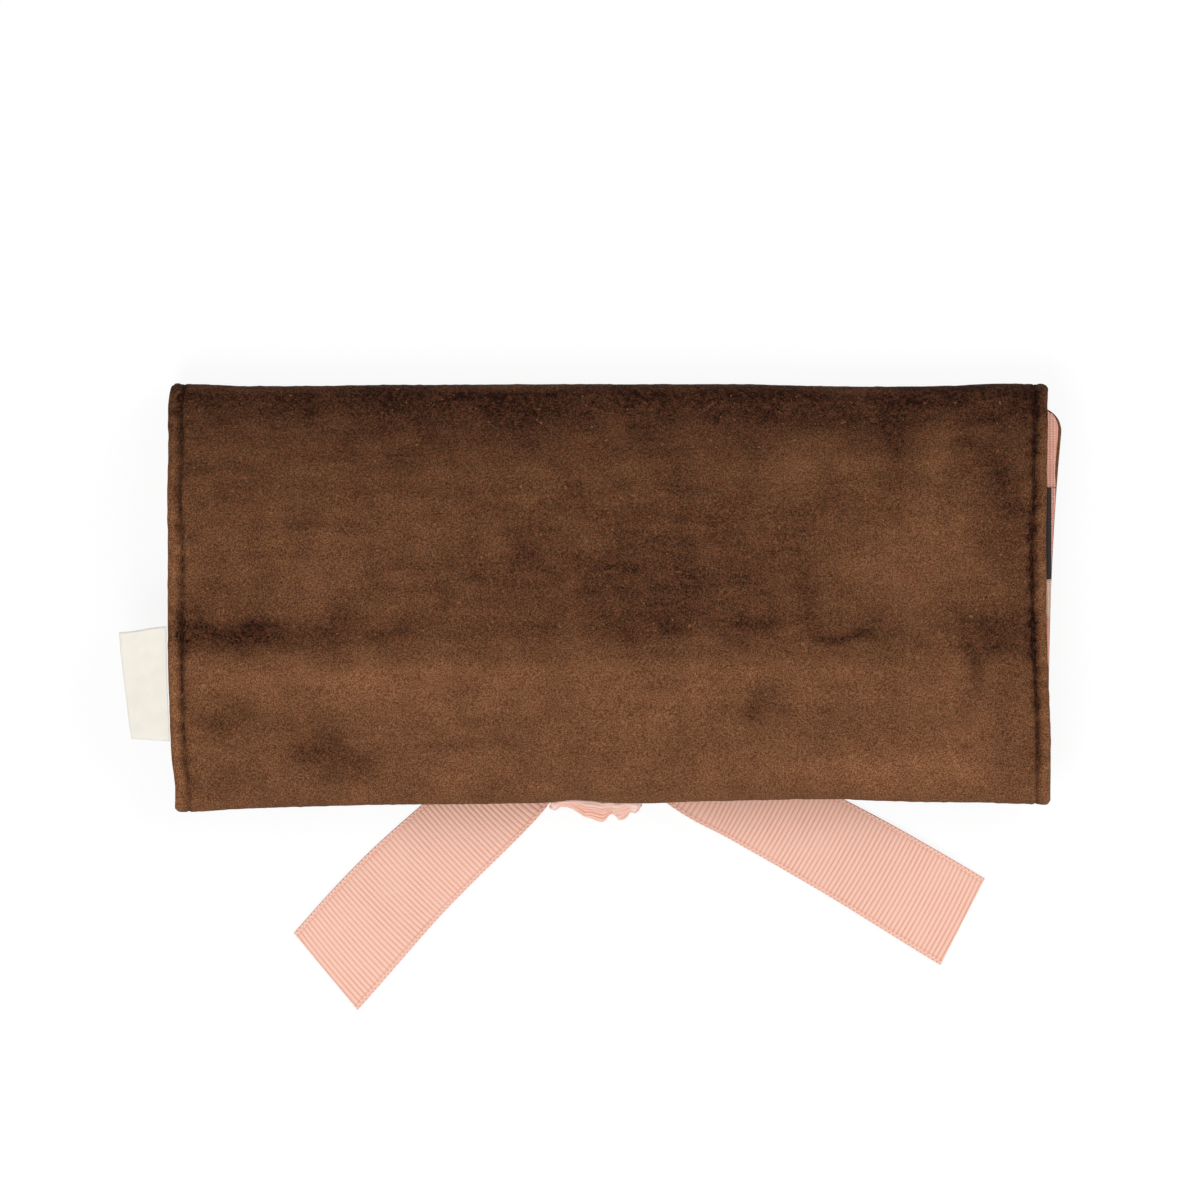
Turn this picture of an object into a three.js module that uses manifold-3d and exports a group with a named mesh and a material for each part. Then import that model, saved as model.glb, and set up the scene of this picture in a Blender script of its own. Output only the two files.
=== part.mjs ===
// A velvet jewellery roll, folded shut and tied with a ribbon bow, lying face down.
// One padded cloth strip is folded in three. The back panel is on top. The inner panel is folded under it
// from the bottom edge, and the flap comes round from the top edge underneath both and lies on the table.
// The inner panel holds a zipped pocket, the back panel a slip pocket and the flap a padded ring bar
// that closes with a snap. The bow ties the flap's edge to the bottom fold.
// Millimetres. X runs along the folds, Y up the back panel, Z up from the table. The origin is on the table.

import * as THREE from "three";
import { mergeVertices } from "three/addons/utils/BufferGeometryUtils.js";
import Module from "manifold-3d";

const wasm = await Module();
wasm.setup();

// Cloth layers
const seat = 0.3;
const velvetThick = 0.9;
const waddingThick = 1.4;
const liningThick = 0.4;
const velvetInner = liningThick + seat + waddingThick + seat;
const panelThick = velvetInner + velvetThick;

// The closed roll
const rollWidth = 222;
const rollHeight = 106;
const topNarrowing = 1.1;
const bottomNarrowing = 1.7;
const flapEdgeY = -12;
const innerTipY = 47;
const innerSkew = 5.5;
const innerSkewPower = 1.7;
const flapNarrowing = 1;
const cornerRadius = 6.5;
const foldRootY = 45.5;
const barY = 24;
const valleyY = -12;
const lowCrownY = -31;

// The turned and topstitched edge seam
const seamRound = 0.5;
const seamWrap = 1;
const seamRidge = 2.9;
const stitchGroove = 3.6;
const stitchDepth = 1.1;
const grooveEnd = 5.2;
const waddingInset = 6;

// The ring bar
const barDiameter = 10;
const barEndGap = 23;
const barLength = rollWidth - 2 * barEndGap;
const barCover = 0.7;
const barNoseLength = 5;
const barMouth = 2.6;
const tabWidth = 3.2;
const tabFlare = 13;
const tabThick = 1;
const tabSink = 3;
const anchorReach = 11;
const anchorSewn = 6;
const tabReach = 20;
const snapInset = 6.5;
const tabBendShare = 0.45;
const tabBendWidthShare = 0.6;
const tabEndWidthShare = 0.6;

// The snap
const snapFlange = 5;
const snapPlate = 0.6;
const snapNub = 1.8;
const snapNubHeight = 1.3;
const snapSocket = 4.6;
const snapSocketHeight = 1.5;
const snapCap = 5.6;
const snapCapHeight = 1.1;
const nubWaistShare = 0.85;
const nubTipShare = 0.7;
const capShoulderShare = 0.8;
const capCrownShare = 0.4;

// The zip
const zipY = 15.3;
const zipEndGap = 16;
const zipLength = rollWidth - 2 * zipEndGap;
const pocketLift = 1.4;
const pocketInset = 2;
const pocketHem = 1;
const pocketRise = 4;
const stripLength = 12.2;
const fabricOverlap = 2;
const tapeWidth = 9.6;
const tapeThick = 0.4;
const tapeInset = 0.4;
const toothPitch = 3;
const toothReach = 1.5;
const toothThick = 1.2;
const toothBead = 0.9;
const toothWaist = 0.9;
const toothHead = 1.2;
const toothNeckShare = 0.45;
const toothCrownShare = 0.7;
const toothClearance = 0.12;
const slideClearance = 0.25;

// The zip's slider, stops and pull
const sliderLength = 9.5;
const sliderFlare = 0.7;
const wingThick = 0.6;
const flangeThick = 0.7;
const postWidth = 0.9;
const postLength = 2.2;
const postNose = 0.36;
const bridgeOpening = 1.2;
const bridgeThick = 0.6;
const bridgeWidth = 1.5;
const bridgeLength = 6.2;
const bridgeLeg = 1;
const pullLength = 15;
const pullWidth = 5;
const pullThick = 0.7;
const pullBar = 0.9;
const pullWindow = 3.4;
const pullWindowWidth = 2.2;
const stopLength = 2.2;
const stopWidth = 1.6;

// The slip pocket
const slipMouthY = -5;
const slipLift = 0.8;
const hemWidth = 5;

// The ribbon bow
const ribbonWidth = 25;
const ribbonThick = 0.6;
const knotX = -5;
const knotY = -28;
const knotHeight = 8.2;
const knotAcross = 16.4;
const knotLength = 12.5;
const knotWall = 1.2;
const knotRound = 2.6;
const pinchWidth = 10;
const pinchRun = 20;
const pinchSink = 4;
const loopLength = 54;
const loopHeight = 5.4;
const loopDroop = 1.6;
const tailRootWidth = 6;
const tailDrop = 4;
const leftTailMid = [-31.2, -53];
const leftTailEnd = [-71.2, -95.3];
const rightTailMid = [36.4, -53];
const rightTailEnd = [89.2, -82.8];
const tailRise = 0.8;
const tailFlatShare = 0.75;
const tailWaves = 3;
const anchorOverlap = 5;
const anchorRunShares = [0.4, 0.75];
const anchorGatherShares = [0.2, 0.6];
const gatherX = -2.6;
const gatherWidth = 22.5;
const gatherReach = 3.5;
const gatherSewn = 6;
const gatherOutShare = 1.6;
const gatherBackShare = 1.8;
const gatherRunShare = 0.7;

// The side label
const labelReach = 11.2;
const labelTopY = -8.8;
const labelBottomY = -37;
const labelThick = 0.35;
const labelGap = 0.35;
const labelFan = 2;

// Lofts that hold the folded panels apart
const overBarLoft = 6.6;
const lowerLoft = 8.1;
const valleyDip = 0.5;
const tipLoft = 1.8;
const tipDrop = 0.9;
const lowRootDrop = 2.1;
const innerRootDrop = 0.6;

// Heights that follow from the stack
const halfWidth = rollWidth / 2;
const halfHeight = rollHeight / 2;
const flapFace = panelThick;
const barBottom = flapFace + seat;
const innerOverBar = barBottom + barDiameter + seat + panelThick;
const backOverBar = innerOverBar + overBarLoft;
const innerOverKnot = knotHeight + 2 * seat + panelThick;
const backOverKnot = innerOverKnot + lowerLoft;
const innerTipZ = (flapFace + backOverBar) / 2 - tipDrop;
const backRootZ = innerTipZ + tipLoft;
const backLowRootZ = backOverKnot - lowRootDrop;
const innerRootZ = innerOverKnot - innerRootDrop;
const apexY = halfHeight - panelThick;

const materials = {
  velvet: new THREE.MeshStandardMaterial({ color: 0x6a452e, roughness: 0.85 }),
  wadding: new THREE.MeshStandardMaterial({ color: 0xe9e6df, roughness: 1 }),
  lining: new THREE.MeshStandardMaterial({ color: 0xe0a591, roughness: 0.55 }),
  ribbon: new THREE.MeshStandardMaterial({ color: 0xf2bfa8, roughness: 0.6 }),
  label: new THREE.MeshStandardMaterial({ color: 0xfbf4e6, roughness: 0.7 }),
  tape: new THREE.MeshStandardMaterial({ color: 0x2b2523, roughness: 0.8 }),
  teeth: new THREE.MeshStandardMaterial({ color: 0x1f1c1b, roughness: 0.4 }),
  metal: new THREE.MeshStandardMaterial({ color: 0xc9a45f, roughness: 0.3, metalness: 1 }),
};

const roll = new THREE.Group();

function addPart(name, geometry, material) {
  const mesh = new THREE.Mesh(geometry, material);
  mesh.name = name;
  roll.add(mesh);
}

function mix(a, b, share) {
  return a + (b - a) * share;
}

function evenly(start, end, steps) {
  return Array.from({ length: steps + 1 }, (_, i) => mix(start, end, i / steps));
}

// Solids are joined and cut as closed meshes.
const weldShare = 1e-5;

function toSolid(geometry) {
  const bare = new THREE.BufferGeometry();
  bare.setAttribute("position", geometry.getAttribute("position").clone());
  if (geometry.getIndex()) bare.setIndex(geometry.getIndex().clone());
  const merged = mergeVertices(bare, weldShare * rollWidth);
  return new wasm.Manifold(
    new wasm.Mesh({
      numProp: 3,
      vertProperties: merged.getAttribute("position").array,
      triVerts: new Uint32Array(merged.getIndex().array),
    }),
  );
}

function toGeometry(solid) {
  const mesh = solid.getMesh();
  const geometry = new THREE.BufferGeometry();
  geometry.setAttribute("position", new THREE.BufferAttribute(mesh.vertProperties, 3));
  geometry.setIndex(new THREE.BufferAttribute(mesh.triVerts, 1));
  geometry.computeVertexNormals();
  return geometry;
}

function boxBetween(low, high) {
  const [w, d, h] = low.map((value, k) => high[k] - value);
  const middle = low.map((value, k) => (value + high[k]) / 2);
  return new THREE.BoxGeometry(w, d, h).translate(...middle);
}

// A closed slab between two grids of points of one size, each a list of rows of THREE.Vector3.
function slab(outer, inner) {
  const rows = outer.length;
  const columns = outer[0].length;
  const positions = [...outer.flat(), ...inner.flat()].flatMap((p) => [p.x, p.y, p.z]);
  const id = (side, i, j) => (side * rows + i) * columns + j;
  const triangles = [];
  const quad = (a, b, c, d) => triangles.push(a, b, c, a, c, d);
  for (let i = 0; i + 1 < rows; i++) {
    for (let j = 0; j + 1 < columns; j++) {
      quad(id(0, i, j), id(0, i, j + 1), id(0, i + 1, j + 1), id(0, i + 1, j));
      quad(id(1, i, j), id(1, i + 1, j), id(1, i + 1, j + 1), id(1, i, j + 1));
    }
  }
  for (let i = 0; i + 1 < rows; i++) {
    const last = columns - 1;
    quad(id(0, i, 0), id(0, i + 1, 0), id(1, i + 1, 0), id(1, i, 0));
    quad(id(0, i, last), id(1, i, last), id(1, i + 1, last), id(0, i + 1, last));
  }
  for (let j = 0; j + 1 < columns; j++) {
    const last = rows - 1;
    quad(id(0, 0, j), id(1, 0, j), id(1, 0, j + 1), id(0, 0, j + 1));
    quad(id(0, last, j), id(0, last, j + 1), id(1, last, j + 1), id(1, last, j));
  }
  const geometry = new THREE.BufferGeometry();
  geometry.setAttribute("position", new THREE.Float32BufferAttribute(positions, 3));
  geometry.setIndex(signedVolume(positions, triangles) < 0 ? triangles.reverse() : triangles);
  geometry.computeVertexNormals();
  return geometry;
}

function signedVolume(positions, triangles) {
  const corner = (index) => new THREE.Vector3().fromArray(positions, 3 * index);
  let sum = 0;
  for (let i = 0; i < triangles.length; i += 3) {
    const [a, b, c] = triangles.slice(i, i + 3).map(corner);
    sum += a.dot(b.cross(c));
  }
  return sum;
}

// The folded profile in the YZ plane: the lining face of the cloth from the flap's edge, round the top
// fold, along the back panel, round the bottom fold and along the inner panel to its tip.
// Each knot is [y, z, heading in degrees, length of its handles as a share of a plain one].
const profileKnots = {
  flapEdge: [flapEdgeY, flapFace, 0, 1],
  flapRoot: [foldRootY, flapFace, 0, 1],
  topApex: [apexY, (flapFace + backRootZ) / 2, 90, 1.7],
  backTopRoot: [foldRootY, backRootZ, 152, 1.1],
  backOverBar: [barY, backOverBar, 180, 1],
  backValley: [valleyY, backOverKnot - valleyDip, 181, 1],
  backLow: [lowCrownY, backOverKnot, 180, 1],
  backLowRoot: [-foldRootY, backLowRootZ, 202, 1],
  bottomApex: [-apexY, (backLowRootZ + innerRootZ) / 2, 270, 1.5],
  innerRoot: [-foldRootY, innerRootZ, 362, 1],
  innerOverKnot: [knotY, innerOverKnot, 363, 1],
  innerOverBar: [barY, innerOverBar, 361, 1],
  innerTip: [innerTipY, innerTipZ, 334, 1],
};

function profileCurve(names) {
  const path = new THREE.CurvePath();
  const knots = names.map((name) => {
    const [y, z, degrees, pullShare] = profileKnots[name];
    const angle = THREE.MathUtils.degToRad(degrees);
    const direction = new THREE.Vector2(Math.cos(angle), Math.sin(angle));
    return { place: new THREE.Vector2(y, z), direction, pullShare };
  });
  for (let i = 0; i + 1 < knots.length; i++) {
    const [from, to] = [knots[i], knots[i + 1]];
    const handle = from.place.distanceTo(to.place) / 3;
    const leave = from.direction.clone().multiplyScalar(handle * from.pullShare).add(from.place);
    const arrive = to.direction.clone().multiplyScalar(-handle * to.pullShare).add(to.place);
    path.add(new THREE.CubicBezierCurve(from.place, leave, arrive, to.place));
  }
  path.arcLengthDivisions = 400;
  return path;
}

// A stretch of the profile. at(distance) gives the point there, the tangent and the outward normal on the
// velvet's side. distanceAt(y) finds where a stretch passes over a place.
function profileStretch(names) {
  const path = profileCurve(names);
  const length = path.getLength();
  const at = (distance) => {
    const share = THREE.MathUtils.clamp(distance / length, 0, 1);
    const tangent = path.getTangentAt(share);
    return { point: path.getPointAt(share), tangent, normal: new THREE.Vector2(tangent.y, -tangent.x) };
  };
  const distanceAt = (y) => {
    let [near, far] = [0, length];
    const rising = at(far).point.x > at(near).point.x;
    for (let halving = 0; halving < 30; halving++) {
      const middle = (near + far) / 2;
      if (at(middle).point.x < y === rising) near = middle;
      else far = middle;
    }
    return near;
  };
  return { length, at, distanceAt };
}

const stretches = {
  flap: profileStretch(["flapEdge", "flapRoot"]),
  topFold: profileStretch(["flapRoot", "topApex", "backTopRoot"]),
  back: profileStretch(["backTopRoot", "backOverBar", "backValley", "backLow", "backLowRoot"]),
  bottomFold: profileStretch(["backLowRoot", "bottomApex", "innerRoot"]),
  inner: profileStretch(["innerRoot", "innerOverKnot", "innerOverBar", "innerTip"]),
};

// How far a free edge's round corners draw the outline in, at a distance from that edge.
function cornerInset(fromEdge) {
  const rise = cornerRadius - THREE.MathUtils.clamp(fromEdge, 0, cornerRadius);
  return cornerRadius - Math.sqrt(cornerRadius ** 2 - rise ** 2);
}

// The left and right edges of each stretch, by distance along it.
const outlines = {
  back: (distance) => {
    const share = (2 * distance) / stretches.back.length - 1;
    const edge = halfWidth - (share < 0 ? topNarrowing : bottomNarrowing) * share ** 2;
    return [-edge, edge];
  },
  topFold: () => [topNarrowing - halfWidth, halfWidth - topNarrowing],
  bottomFold: () => [bottomNarrowing - halfWidth, halfWidth - bottomNarrowing],
  flap: (distance) => {
    const taper = mix(flapNarrowing, 0, distance / stretches.flap.length);
    const edge = halfWidth - topNarrowing - taper - cornerInset(distance);
    return [-edge, edge];
  },
  inner: (distance) => {
    const edge = halfWidth - bottomNarrowing - cornerInset(stretches.inner.length - distance);
    const shift = innerSkew * (distance / stretches.inner.length) ** innerSkewPower;
    return [shift - edge, shift + edge];
  },
};

// A layer's offsets from the lining face, positive to the velvet's side.
// Each row is [distance in from the edge, far face, near face].
const velvetOffsets = [
  [0, panelThick - velvetThick, seamRound],
  [seamRound, panelThick - seat, 0],
  [seamWrap, panelThick, 0],
  [seamWrap + seat, panelThick, liningThick + seat],
  [seamRidge, panelThick - seat, liningThick + seat],
  [stitchGroove, panelThick - stitchDepth, liningThick + seat],
  [(stitchGroove + grooveEnd) / 2, panelThick - seat, liningThick + seat],
  [grooveEnd, panelThick - seat, velvetInner],
  [cornerRadius, panelThick, velvetInner],
];
const waddingOffsets = [[0, velvetInner - seat, liningThick + seat]];
const liningOffsets = [[0, liningThick, 0]];

function offsetsAt(table, distance) {
  const next = table.findIndex((row) => row[0] > distance);
  if (next < 0) return table[table.length - 1].slice(1);
  if (next === 0) return table[0].slice(1);
  const [before, after] = [table[next - 1], table[next]];
  const share = (distance - before[0]) / (after[0] - before[0]);
  return [mix(before[1], after[1], share), mix(before[2], after[2], share)];
}

// One cloth layer over part of a stretch. Its two sides always close with the table's edge, and so do its
// start and end where they are free. All layers of a panel share the same rows.
function clothLayer({ stretch, inset, rows, table, freeStart, freeEnd }) {
  const { at } = stretches[stretch];
  const outer = [];
  const inner = [];
  const [first, last] = [rows[0], rows[rows.length - 1]];
  for (const distance of rows) {
    const { point, normal } = at(distance);
    const [left, right] = outlines[stretch](distance);
    const fromStart = freeStart ? distance - first : Infinity;
    const fromEnd = freeEnd ? last - distance : Infinity;
    const steps = table.map((row) => row[0]);
    const across = [
      ...steps.map((step) => [left + inset + step, step]),
      [(left + right) / 2, Infinity],
      ...steps.toReversed().map((step) => [right - inset - step, step]),
    ];
    const place = (x, offset) =>
      new THREE.Vector3(x, point.x + normal.x * offset, point.y + normal.y * offset);
    const pairs = across.map(([x, step]) => {
      const [far, near] = offsetsAt(table, Math.min(step, fromStart, fromEnd));
      return [place(x, far), place(x, near)];
    });
    outer.push(pairs.map((pair) => pair[0]));
    inner.push(pairs.map((pair) => pair[1]));
  }
  return slab(outer, inner);
}

const cut = seat / 2;
const edgeRows = velvetOffsets.map((row) => row[0]);
const [backLength, flapLength, innerLength] = [
  stretches.back.length,
  stretches.flap.length,
  stretches.inner.length,
];
const foldRows = (stretch) => evenly(cut, stretches[stretch].length - cut, 8);

const panels = {
  back_panel: { stretch: "back", rows: evenly(cut, backLength - cut, 16) },
  top_fold: { stretch: "topFold", rows: foldRows("topFold") },
  bottom_fold: { stretch: "bottomFold", rows: foldRows("bottomFold") },
  flap: {
    stretch: "flap",
    rows: [...edgeRows, ...evenly(cornerRadius, flapLength - cut, 3).slice(1)],
    freeStart: true,
  },
  inner_panel: {
    stretch: "inner",
    rows: [
      ...evenly(cut, innerLength - cornerRadius, 12).slice(0, -1),
      ...edgeRows.toReversed().map((step) => innerLength - step),
    ],
    freeEnd: true,
  },
};

// The rows of an inner layer, which keeps back from a free edge by its inset.
function rowsWithin({ stretch, rows, freeStart, freeEnd }, inset) {
  const start = freeStart ? inset : 0;
  const end = stretches[stretch].length - (freeEnd ? inset : 0);
  const kept = rows.filter((distance) => distance > start && distance < end);
  return [...(freeStart ? [start] : []), ...kept, ...(freeEnd ? [end] : [])];
}

for (const [name, panel] of Object.entries(panels)) {
  const layers = [
    ["velvet", 0, velvetOffsets, materials.velvet],
    ["wadding", waddingInset, waddingOffsets, materials.wadding],
    ["lining", seamWrap + seat, liningOffsets, materials.lining],
  ];
  for (const [layer, inset, table, material] of layers) {
    const rows = rowsWithin(panel, inset);
    addPart(`${name}_${layer}`, clothLayer({ ...panel, inset, rows, table }), material);
  }
}

// The zipped pocket's two fabrics stand off the inner panel's lining and are sewn down at their edges.
function pocketOffsets(lift) {
  return [
    [0, -seat, -seat - liningThick],
    [pocketHem, -seat, -seat - liningThick],
    [pocketHem + pocketRise, -lift, -lift - liningThick],
  ];
}

const zipDistance = stretches.inner.distanceAt(zipY);
const chainHalf = toothBead + toothReach / 2 + toothClearance;
const tapeEdge = chainHalf + toothClearance;
const tapeOuter = tapeEdge + tapeWidth;
const fabricEdge = tapeOuter - fabricOverlap;
const tapeBottom = pocketLift + liningThick + seat;
const pocketTable = pocketOffsets(pocketLift);
const pocketSteps = pocketTable.map((row) => row[0]);
const stripStart = zipDistance - tapeOuter - stripLength + fabricOverlap;
const frontEnd = innerLength - pocketInset;

addPart(
  "pocket_strip",
  clothLayer({
    stretch: "inner",
    inset: pocketInset,
    rows: [...pocketSteps.map((step) => stripStart + step), zipDistance - fabricEdge],
    table: pocketTable,
    freeStart: true,
  }),
  materials.lining,
);
addPart(
  "pocket_front",
  clothLayer({
    stretch: "inner",
    inset: pocketInset,
    rows: [
      zipDistance + fabricEdge,
      ...evenly(zipDistance + tapeOuter, frontEnd - pocketHem - pocketRise, 3),
      frontEnd - pocketHem,
      frontEnd,
    ],
    table: pocketTable,
    freeEnd: true,
  }),
  materials.lining,
);

// The zip is built flat in its own frame, X along it, Y up the panel and Z off the panel's lining face.
const zipPlace = stretches.inner.at(zipDistance);
const zipFrame = new THREE.Matrix4().set(
  1, 0, 0, 0,
  0, zipPlace.tangent.x, -zipPlace.normal.x, zipPlace.point.x,
  0, zipPlace.tangent.y, -zipPlace.normal.y, zipPlace.point.y,
  0, 0, 0, 1,
);

function addZipPart(name, geometry, material) {
  addPart(name, geometry.applyMatrix4(zipFrame), material);
}

// A tape lies over its fabric's edge and comes down at its ends, where the side seams catch it.
const tapeOffsets = [
  [0, -seat, -seat - tapeThick],
  [pocketInset - tapeInset, -2 * seat - liningThick, -2 * seat - liningThick - tapeThick],
  [pocketInset - tapeInset + pocketHem, -2 * seat - liningThick, -2 * seat - liningThick - tapeThick],
  [pocketInset - tapeInset + pocketHem + pocketRise, -tapeBottom, -tapeBottom - tapeThick],
];

function zipTape(side) {
  const rows = evenly(zipDistance + side * tapeEdge, zipDistance + side * tapeOuter, 2);
  return clothLayer({ stretch: "inner", inset: tapeInset, rows, table: tapeOffsets });
}

// Half of the chain: a bead along the tape's edge with a tooth at each pitch, all in one comb.
const chainMiddle = tapeBottom + tapeThick / 2;
const chainBottom = chainMiddle - toothThick / 2;
const chainTop = chainMiddle + toothThick / 2;
const sliderEnd = zipLength / 2;
const postEnd = sliderEnd - postNose;
const chainRight = postEnd - postLength - slideClearance;
const chainLeft = -zipLength / 2;
const toothRoot = chainHalf - toothBead;
const toothTip = toothRoot - toothReach;

function zipComb(side) {
  const comb = new THREE.Shape();
  comb.moveTo(chainLeft, side * chainHalf);
  comb.lineTo(chainLeft, side * toothRoot);
  const first = chainLeft + toothHead + (side > 0 ? 0 : toothPitch / 2);
  const neck = mix(toothRoot, toothTip, toothNeckShare);
  const crown = mix(toothRoot, toothTip, toothCrownShare);
  for (let x = first; x + toothHead < chainRight; x += toothPitch) {
    comb.lineTo(x - toothWaist / 2, side * toothRoot);
    comb.lineTo(x - toothWaist / 2, side * neck);
    comb.lineTo(x - toothHead / 2, side * crown);
    comb.lineTo(x - toothWaist / 2, side * toothTip);
    comb.lineTo(x + toothWaist / 2, side * toothTip);
    comb.lineTo(x + toothHead / 2, side * crown);
    comb.lineTo(x + toothWaist / 2, side * neck);
    comb.lineTo(x + toothWaist / 2, side * toothRoot);
  }
  comb.lineTo(chainRight, side * toothRoot);
  comb.lineTo(chainRight, side * chainHalf);
  const options = { depth: toothThick, bevelEnabled: false };
  return new THREE.ExtrudeGeometry(comb, options).translate(0, 0, chainBottom);
}

for (const [side, name] of [[1, "upper"], [-1, "lower"]]) {
  addPart(`zip_tape_${name}`, zipTape(side), materials.tape);
  addZipPart(`zip_teeth_${name}`, zipComb(side), materials.teeth);
}

// The slider: two wings with flanges round the chain, a post between them at the nose, and a bridge on top.
const channelHalf = chainHalf + slideClearance;
const sliderHalf = channelHalf + flangeThick;
const sliderStart = sliderEnd - sliderLength;
const topWing = chainTop + slideClearance;
const bottomWing = chainBottom - slideClearance;
const bridgeMiddle = sliderStart + sliderLength / 2;

function sliderOutline(half) {
  const shape = new THREE.Shape();
  shape.moveTo(sliderStart, -half);
  shape.lineTo(bridgeMiddle, -half);
  shape.lineTo(sliderEnd - sliderFlare, -half - sliderFlare);
  shape.lineTo(sliderEnd, -half);
  shape.lineTo(sliderEnd, half);
  shape.lineTo(sliderEnd - sliderFlare, half + sliderFlare);
  shape.lineTo(bridgeMiddle, half);
  shape.lineTo(sliderStart, half);
  return shape;
}

function prism(shape, bottom, top) {
  const options = { depth: top - bottom, bevelEnabled: false };
  return new THREE.ExtrudeGeometry(shape, options).translate(0, 0, bottom);
}

function zipSlider() {
  const block = toSolid(prism(sliderOutline(sliderHalf), bottomWing - wingThick, topWing + wingThick));
  const beyond = sliderLength;
  const channel = boxBetween(
    [sliderStart - beyond, -channelHalf, bottomWing],
    [sliderEnd + beyond, channelHalf, topWing],
  );
  const slot = boxBetween(
    [sliderStart - beyond, -beyond, tapeBottom - slideClearance],
    [sliderEnd + beyond, beyond, tapeBottom + tapeThick + slideClearance],
  );
  const post = boxBetween(
    [postEnd - postLength, -postWidth / 2, bottomWing - wingThick / 2],
    [postEnd, postWidth / 2, topWing + wingThick / 2],
  );
  const bridgeTop = topWing + wingThick + bridgeOpening + bridgeThick;
  const arch = boxBetween(
    [bridgeMiddle - bridgeLength / 2, -bridgeWidth / 2, topWing + wingThick / 2],
    [bridgeMiddle + bridgeLength / 2, bridgeWidth / 2, bridgeTop],
  );
  const window = boxBetween(
    [bridgeMiddle - bridgeLength / 2 + bridgeLeg, -bridgeWidth, topWing + wingThick],
    [bridgeMiddle + bridgeLength / 2 - bridgeLeg, bridgeWidth, bridgeTop - bridgeThick],
  );
  const body = block.subtract(toSolid(channel)).subtract(toSolid(slot)).add(toSolid(post));
  return toGeometry(body.add(toSolid(arch).subtract(toSolid(window))));
}

addZipPart("zip_slider", zipSlider(), materials.metal);

// The pull hangs by its end bar under the bridge and lies back along the closed chain.
const pullBottom = topWing + wingThick + (bridgeOpening - pullThick) / 2;
const pullPin = bridgeMiddle;

function zipPull() {
  const near = pullPin + pullBar / 2;
  const far = near - pullLength;
  const half = pullWidth / 2;
  const shape = new THREE.Shape();
  shape.moveTo(near, -pullWindowWidth);
  shape.lineTo(near, pullWindowWidth);
  shape.lineTo(near - pullWindow, pullWindowWidth);
  shape.lineTo(near - pullWindow - half, half);
  shape.lineTo(far + half, half);
  shape.absarc(far + half, 0, half, Math.PI / 2, (3 * Math.PI) / 2, false);
  shape.lineTo(near - pullWindow - half, -half);
  shape.lineTo(near - pullWindow, -pullWindowWidth);
  const window = new THREE.Path();
  const [x0, x1] = [near - pullBar - pullWindow, near - pullBar];
  window.moveTo(x0, -pullWindowWidth / 2);
  window.lineTo(x1, -pullWindowWidth / 2);
  window.lineTo(x1, pullWindowWidth / 2);
  window.lineTo(x0, pullWindowWidth / 2);
  shape.holes.push(window);
  const options = { depth: pullThick, bevelEnabled: false, curveSegments: 8 };
  return new THREE.ExtrudeGeometry(shape, options).translate(0, 0, pullBottom);
}

addZipPart("pull_tab", zipPull(), materials.metal);

// Stops grip the tapes at both ends of the chain. Their section runs across the zip.
function stopSection(half, gripFrom, sides) {
  const [low, high] = [chainBottom - slideClearance / 2, chainTop + slideClearance / 2];
  const [slotLow, slotHigh] = [tapeBottom - toothClearance, tapeBottom + tapeThick + toothClearance];
  const shape = new THREE.Shape();
  const slot = [[half, slotLow], [gripFrom, slotLow], [gripFrom, slotHigh], [half, slotHigh]];
  const rightSide = [[half, low], ...slot, [half, high]];
  const leftSide = rightSide.toReversed().map(([y, z]) => [-y, z]);
  const plainLeft = [[toothRoot, high], [toothRoot, low]];
  const points = [...rightSide, ...(sides === 2 ? leftSide : plainLeft)];
  points.forEach(([y, z], i) => (i ? shape.lineTo(y, z) : shape.moveTo(y, z)));
  return shape;
}

function zipStop(start, sides) {
  const grip = tapeEdge - toothClearance;
  const options = { depth: stopLength, bevelEnabled: false };
  const stop = new THREE.ExtrudeGeometry(stopSection(tapeEdge + stopWidth, grip, sides), options);
  const turn = new THREE.Matrix4().set(0, 0, 1, start, 1, 0, 0, 0, 0, 1, 0, 0, 0, 0, 0, 1);
  return stop.applyMatrix4(turn);
}

addZipPart("zip_stop_closed_end", zipStop(chainLeft - seat - stopLength, 2), materials.metal);
addZipPart("zip_stop_upper", zipStop(sliderEnd + seat, 1), materials.metal);
const halfTurn = new THREE.Matrix4().makeScale(1, -1, 1);
const lowerStop = zipStop(sliderEnd + seat, 1).applyMatrix4(halfTurn);
lowerStop.setIndex([...Array(lowerStop.getAttribute("position").count).keys()].reverse());
addZipPart("zip_stop_lower", lowerStop, materials.metal);

// The slip pocket lies on the back panel's lining, open towards the top fold, with a hem along its mouth.
const slipTable = pocketOffsets(slipLift);
const slipStart = stretches.back.distanceAt(slipMouthY);
const slipEnd = backLength - pocketInset;
addPart(
  "slip_pocket",
  clothLayer({
    stretch: "back",
    inset: pocketInset,
    rows: [...evenly(slipStart, slipEnd - pocketHem - pocketRise, 5), slipEnd - pocketHem, slipEnd],
    table: slipTable,
    freeEnd: true,
  }),
  materials.lining,
);
const hemOffsets = slipTable.map(([step, far, near]) => [step, near - seat, near - seat - liningThick]);
addPart(
  "slip_pocket_hem",
  clothLayer({
    stretch: "back",
    inset: pocketInset,
    rows: evenly(slipStart, slipStart + hemWidth, 2),
    table: hemOffsets,
  }),
  materials.velvet,
);

// The ring bar: a padded tube sewn to the flap at its left end and snapped down at its right end.
const barRadius = barDiameter / 2;
const barAxisZ = barBottom + barRadius;
const barHalf = barLength / 2;
const barSides = 16;

function alongBar(profile) {
  const points = profile.map(([radius, x]) => new THREE.Vector2(radius, x));
  const lathe = new THREE.LatheGeometry(points, barSides);
  return toGeometry(toSolid(lathe.rotateZ(-Math.PI / 2).translate(0, barY, barAxisZ)));
}

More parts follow.
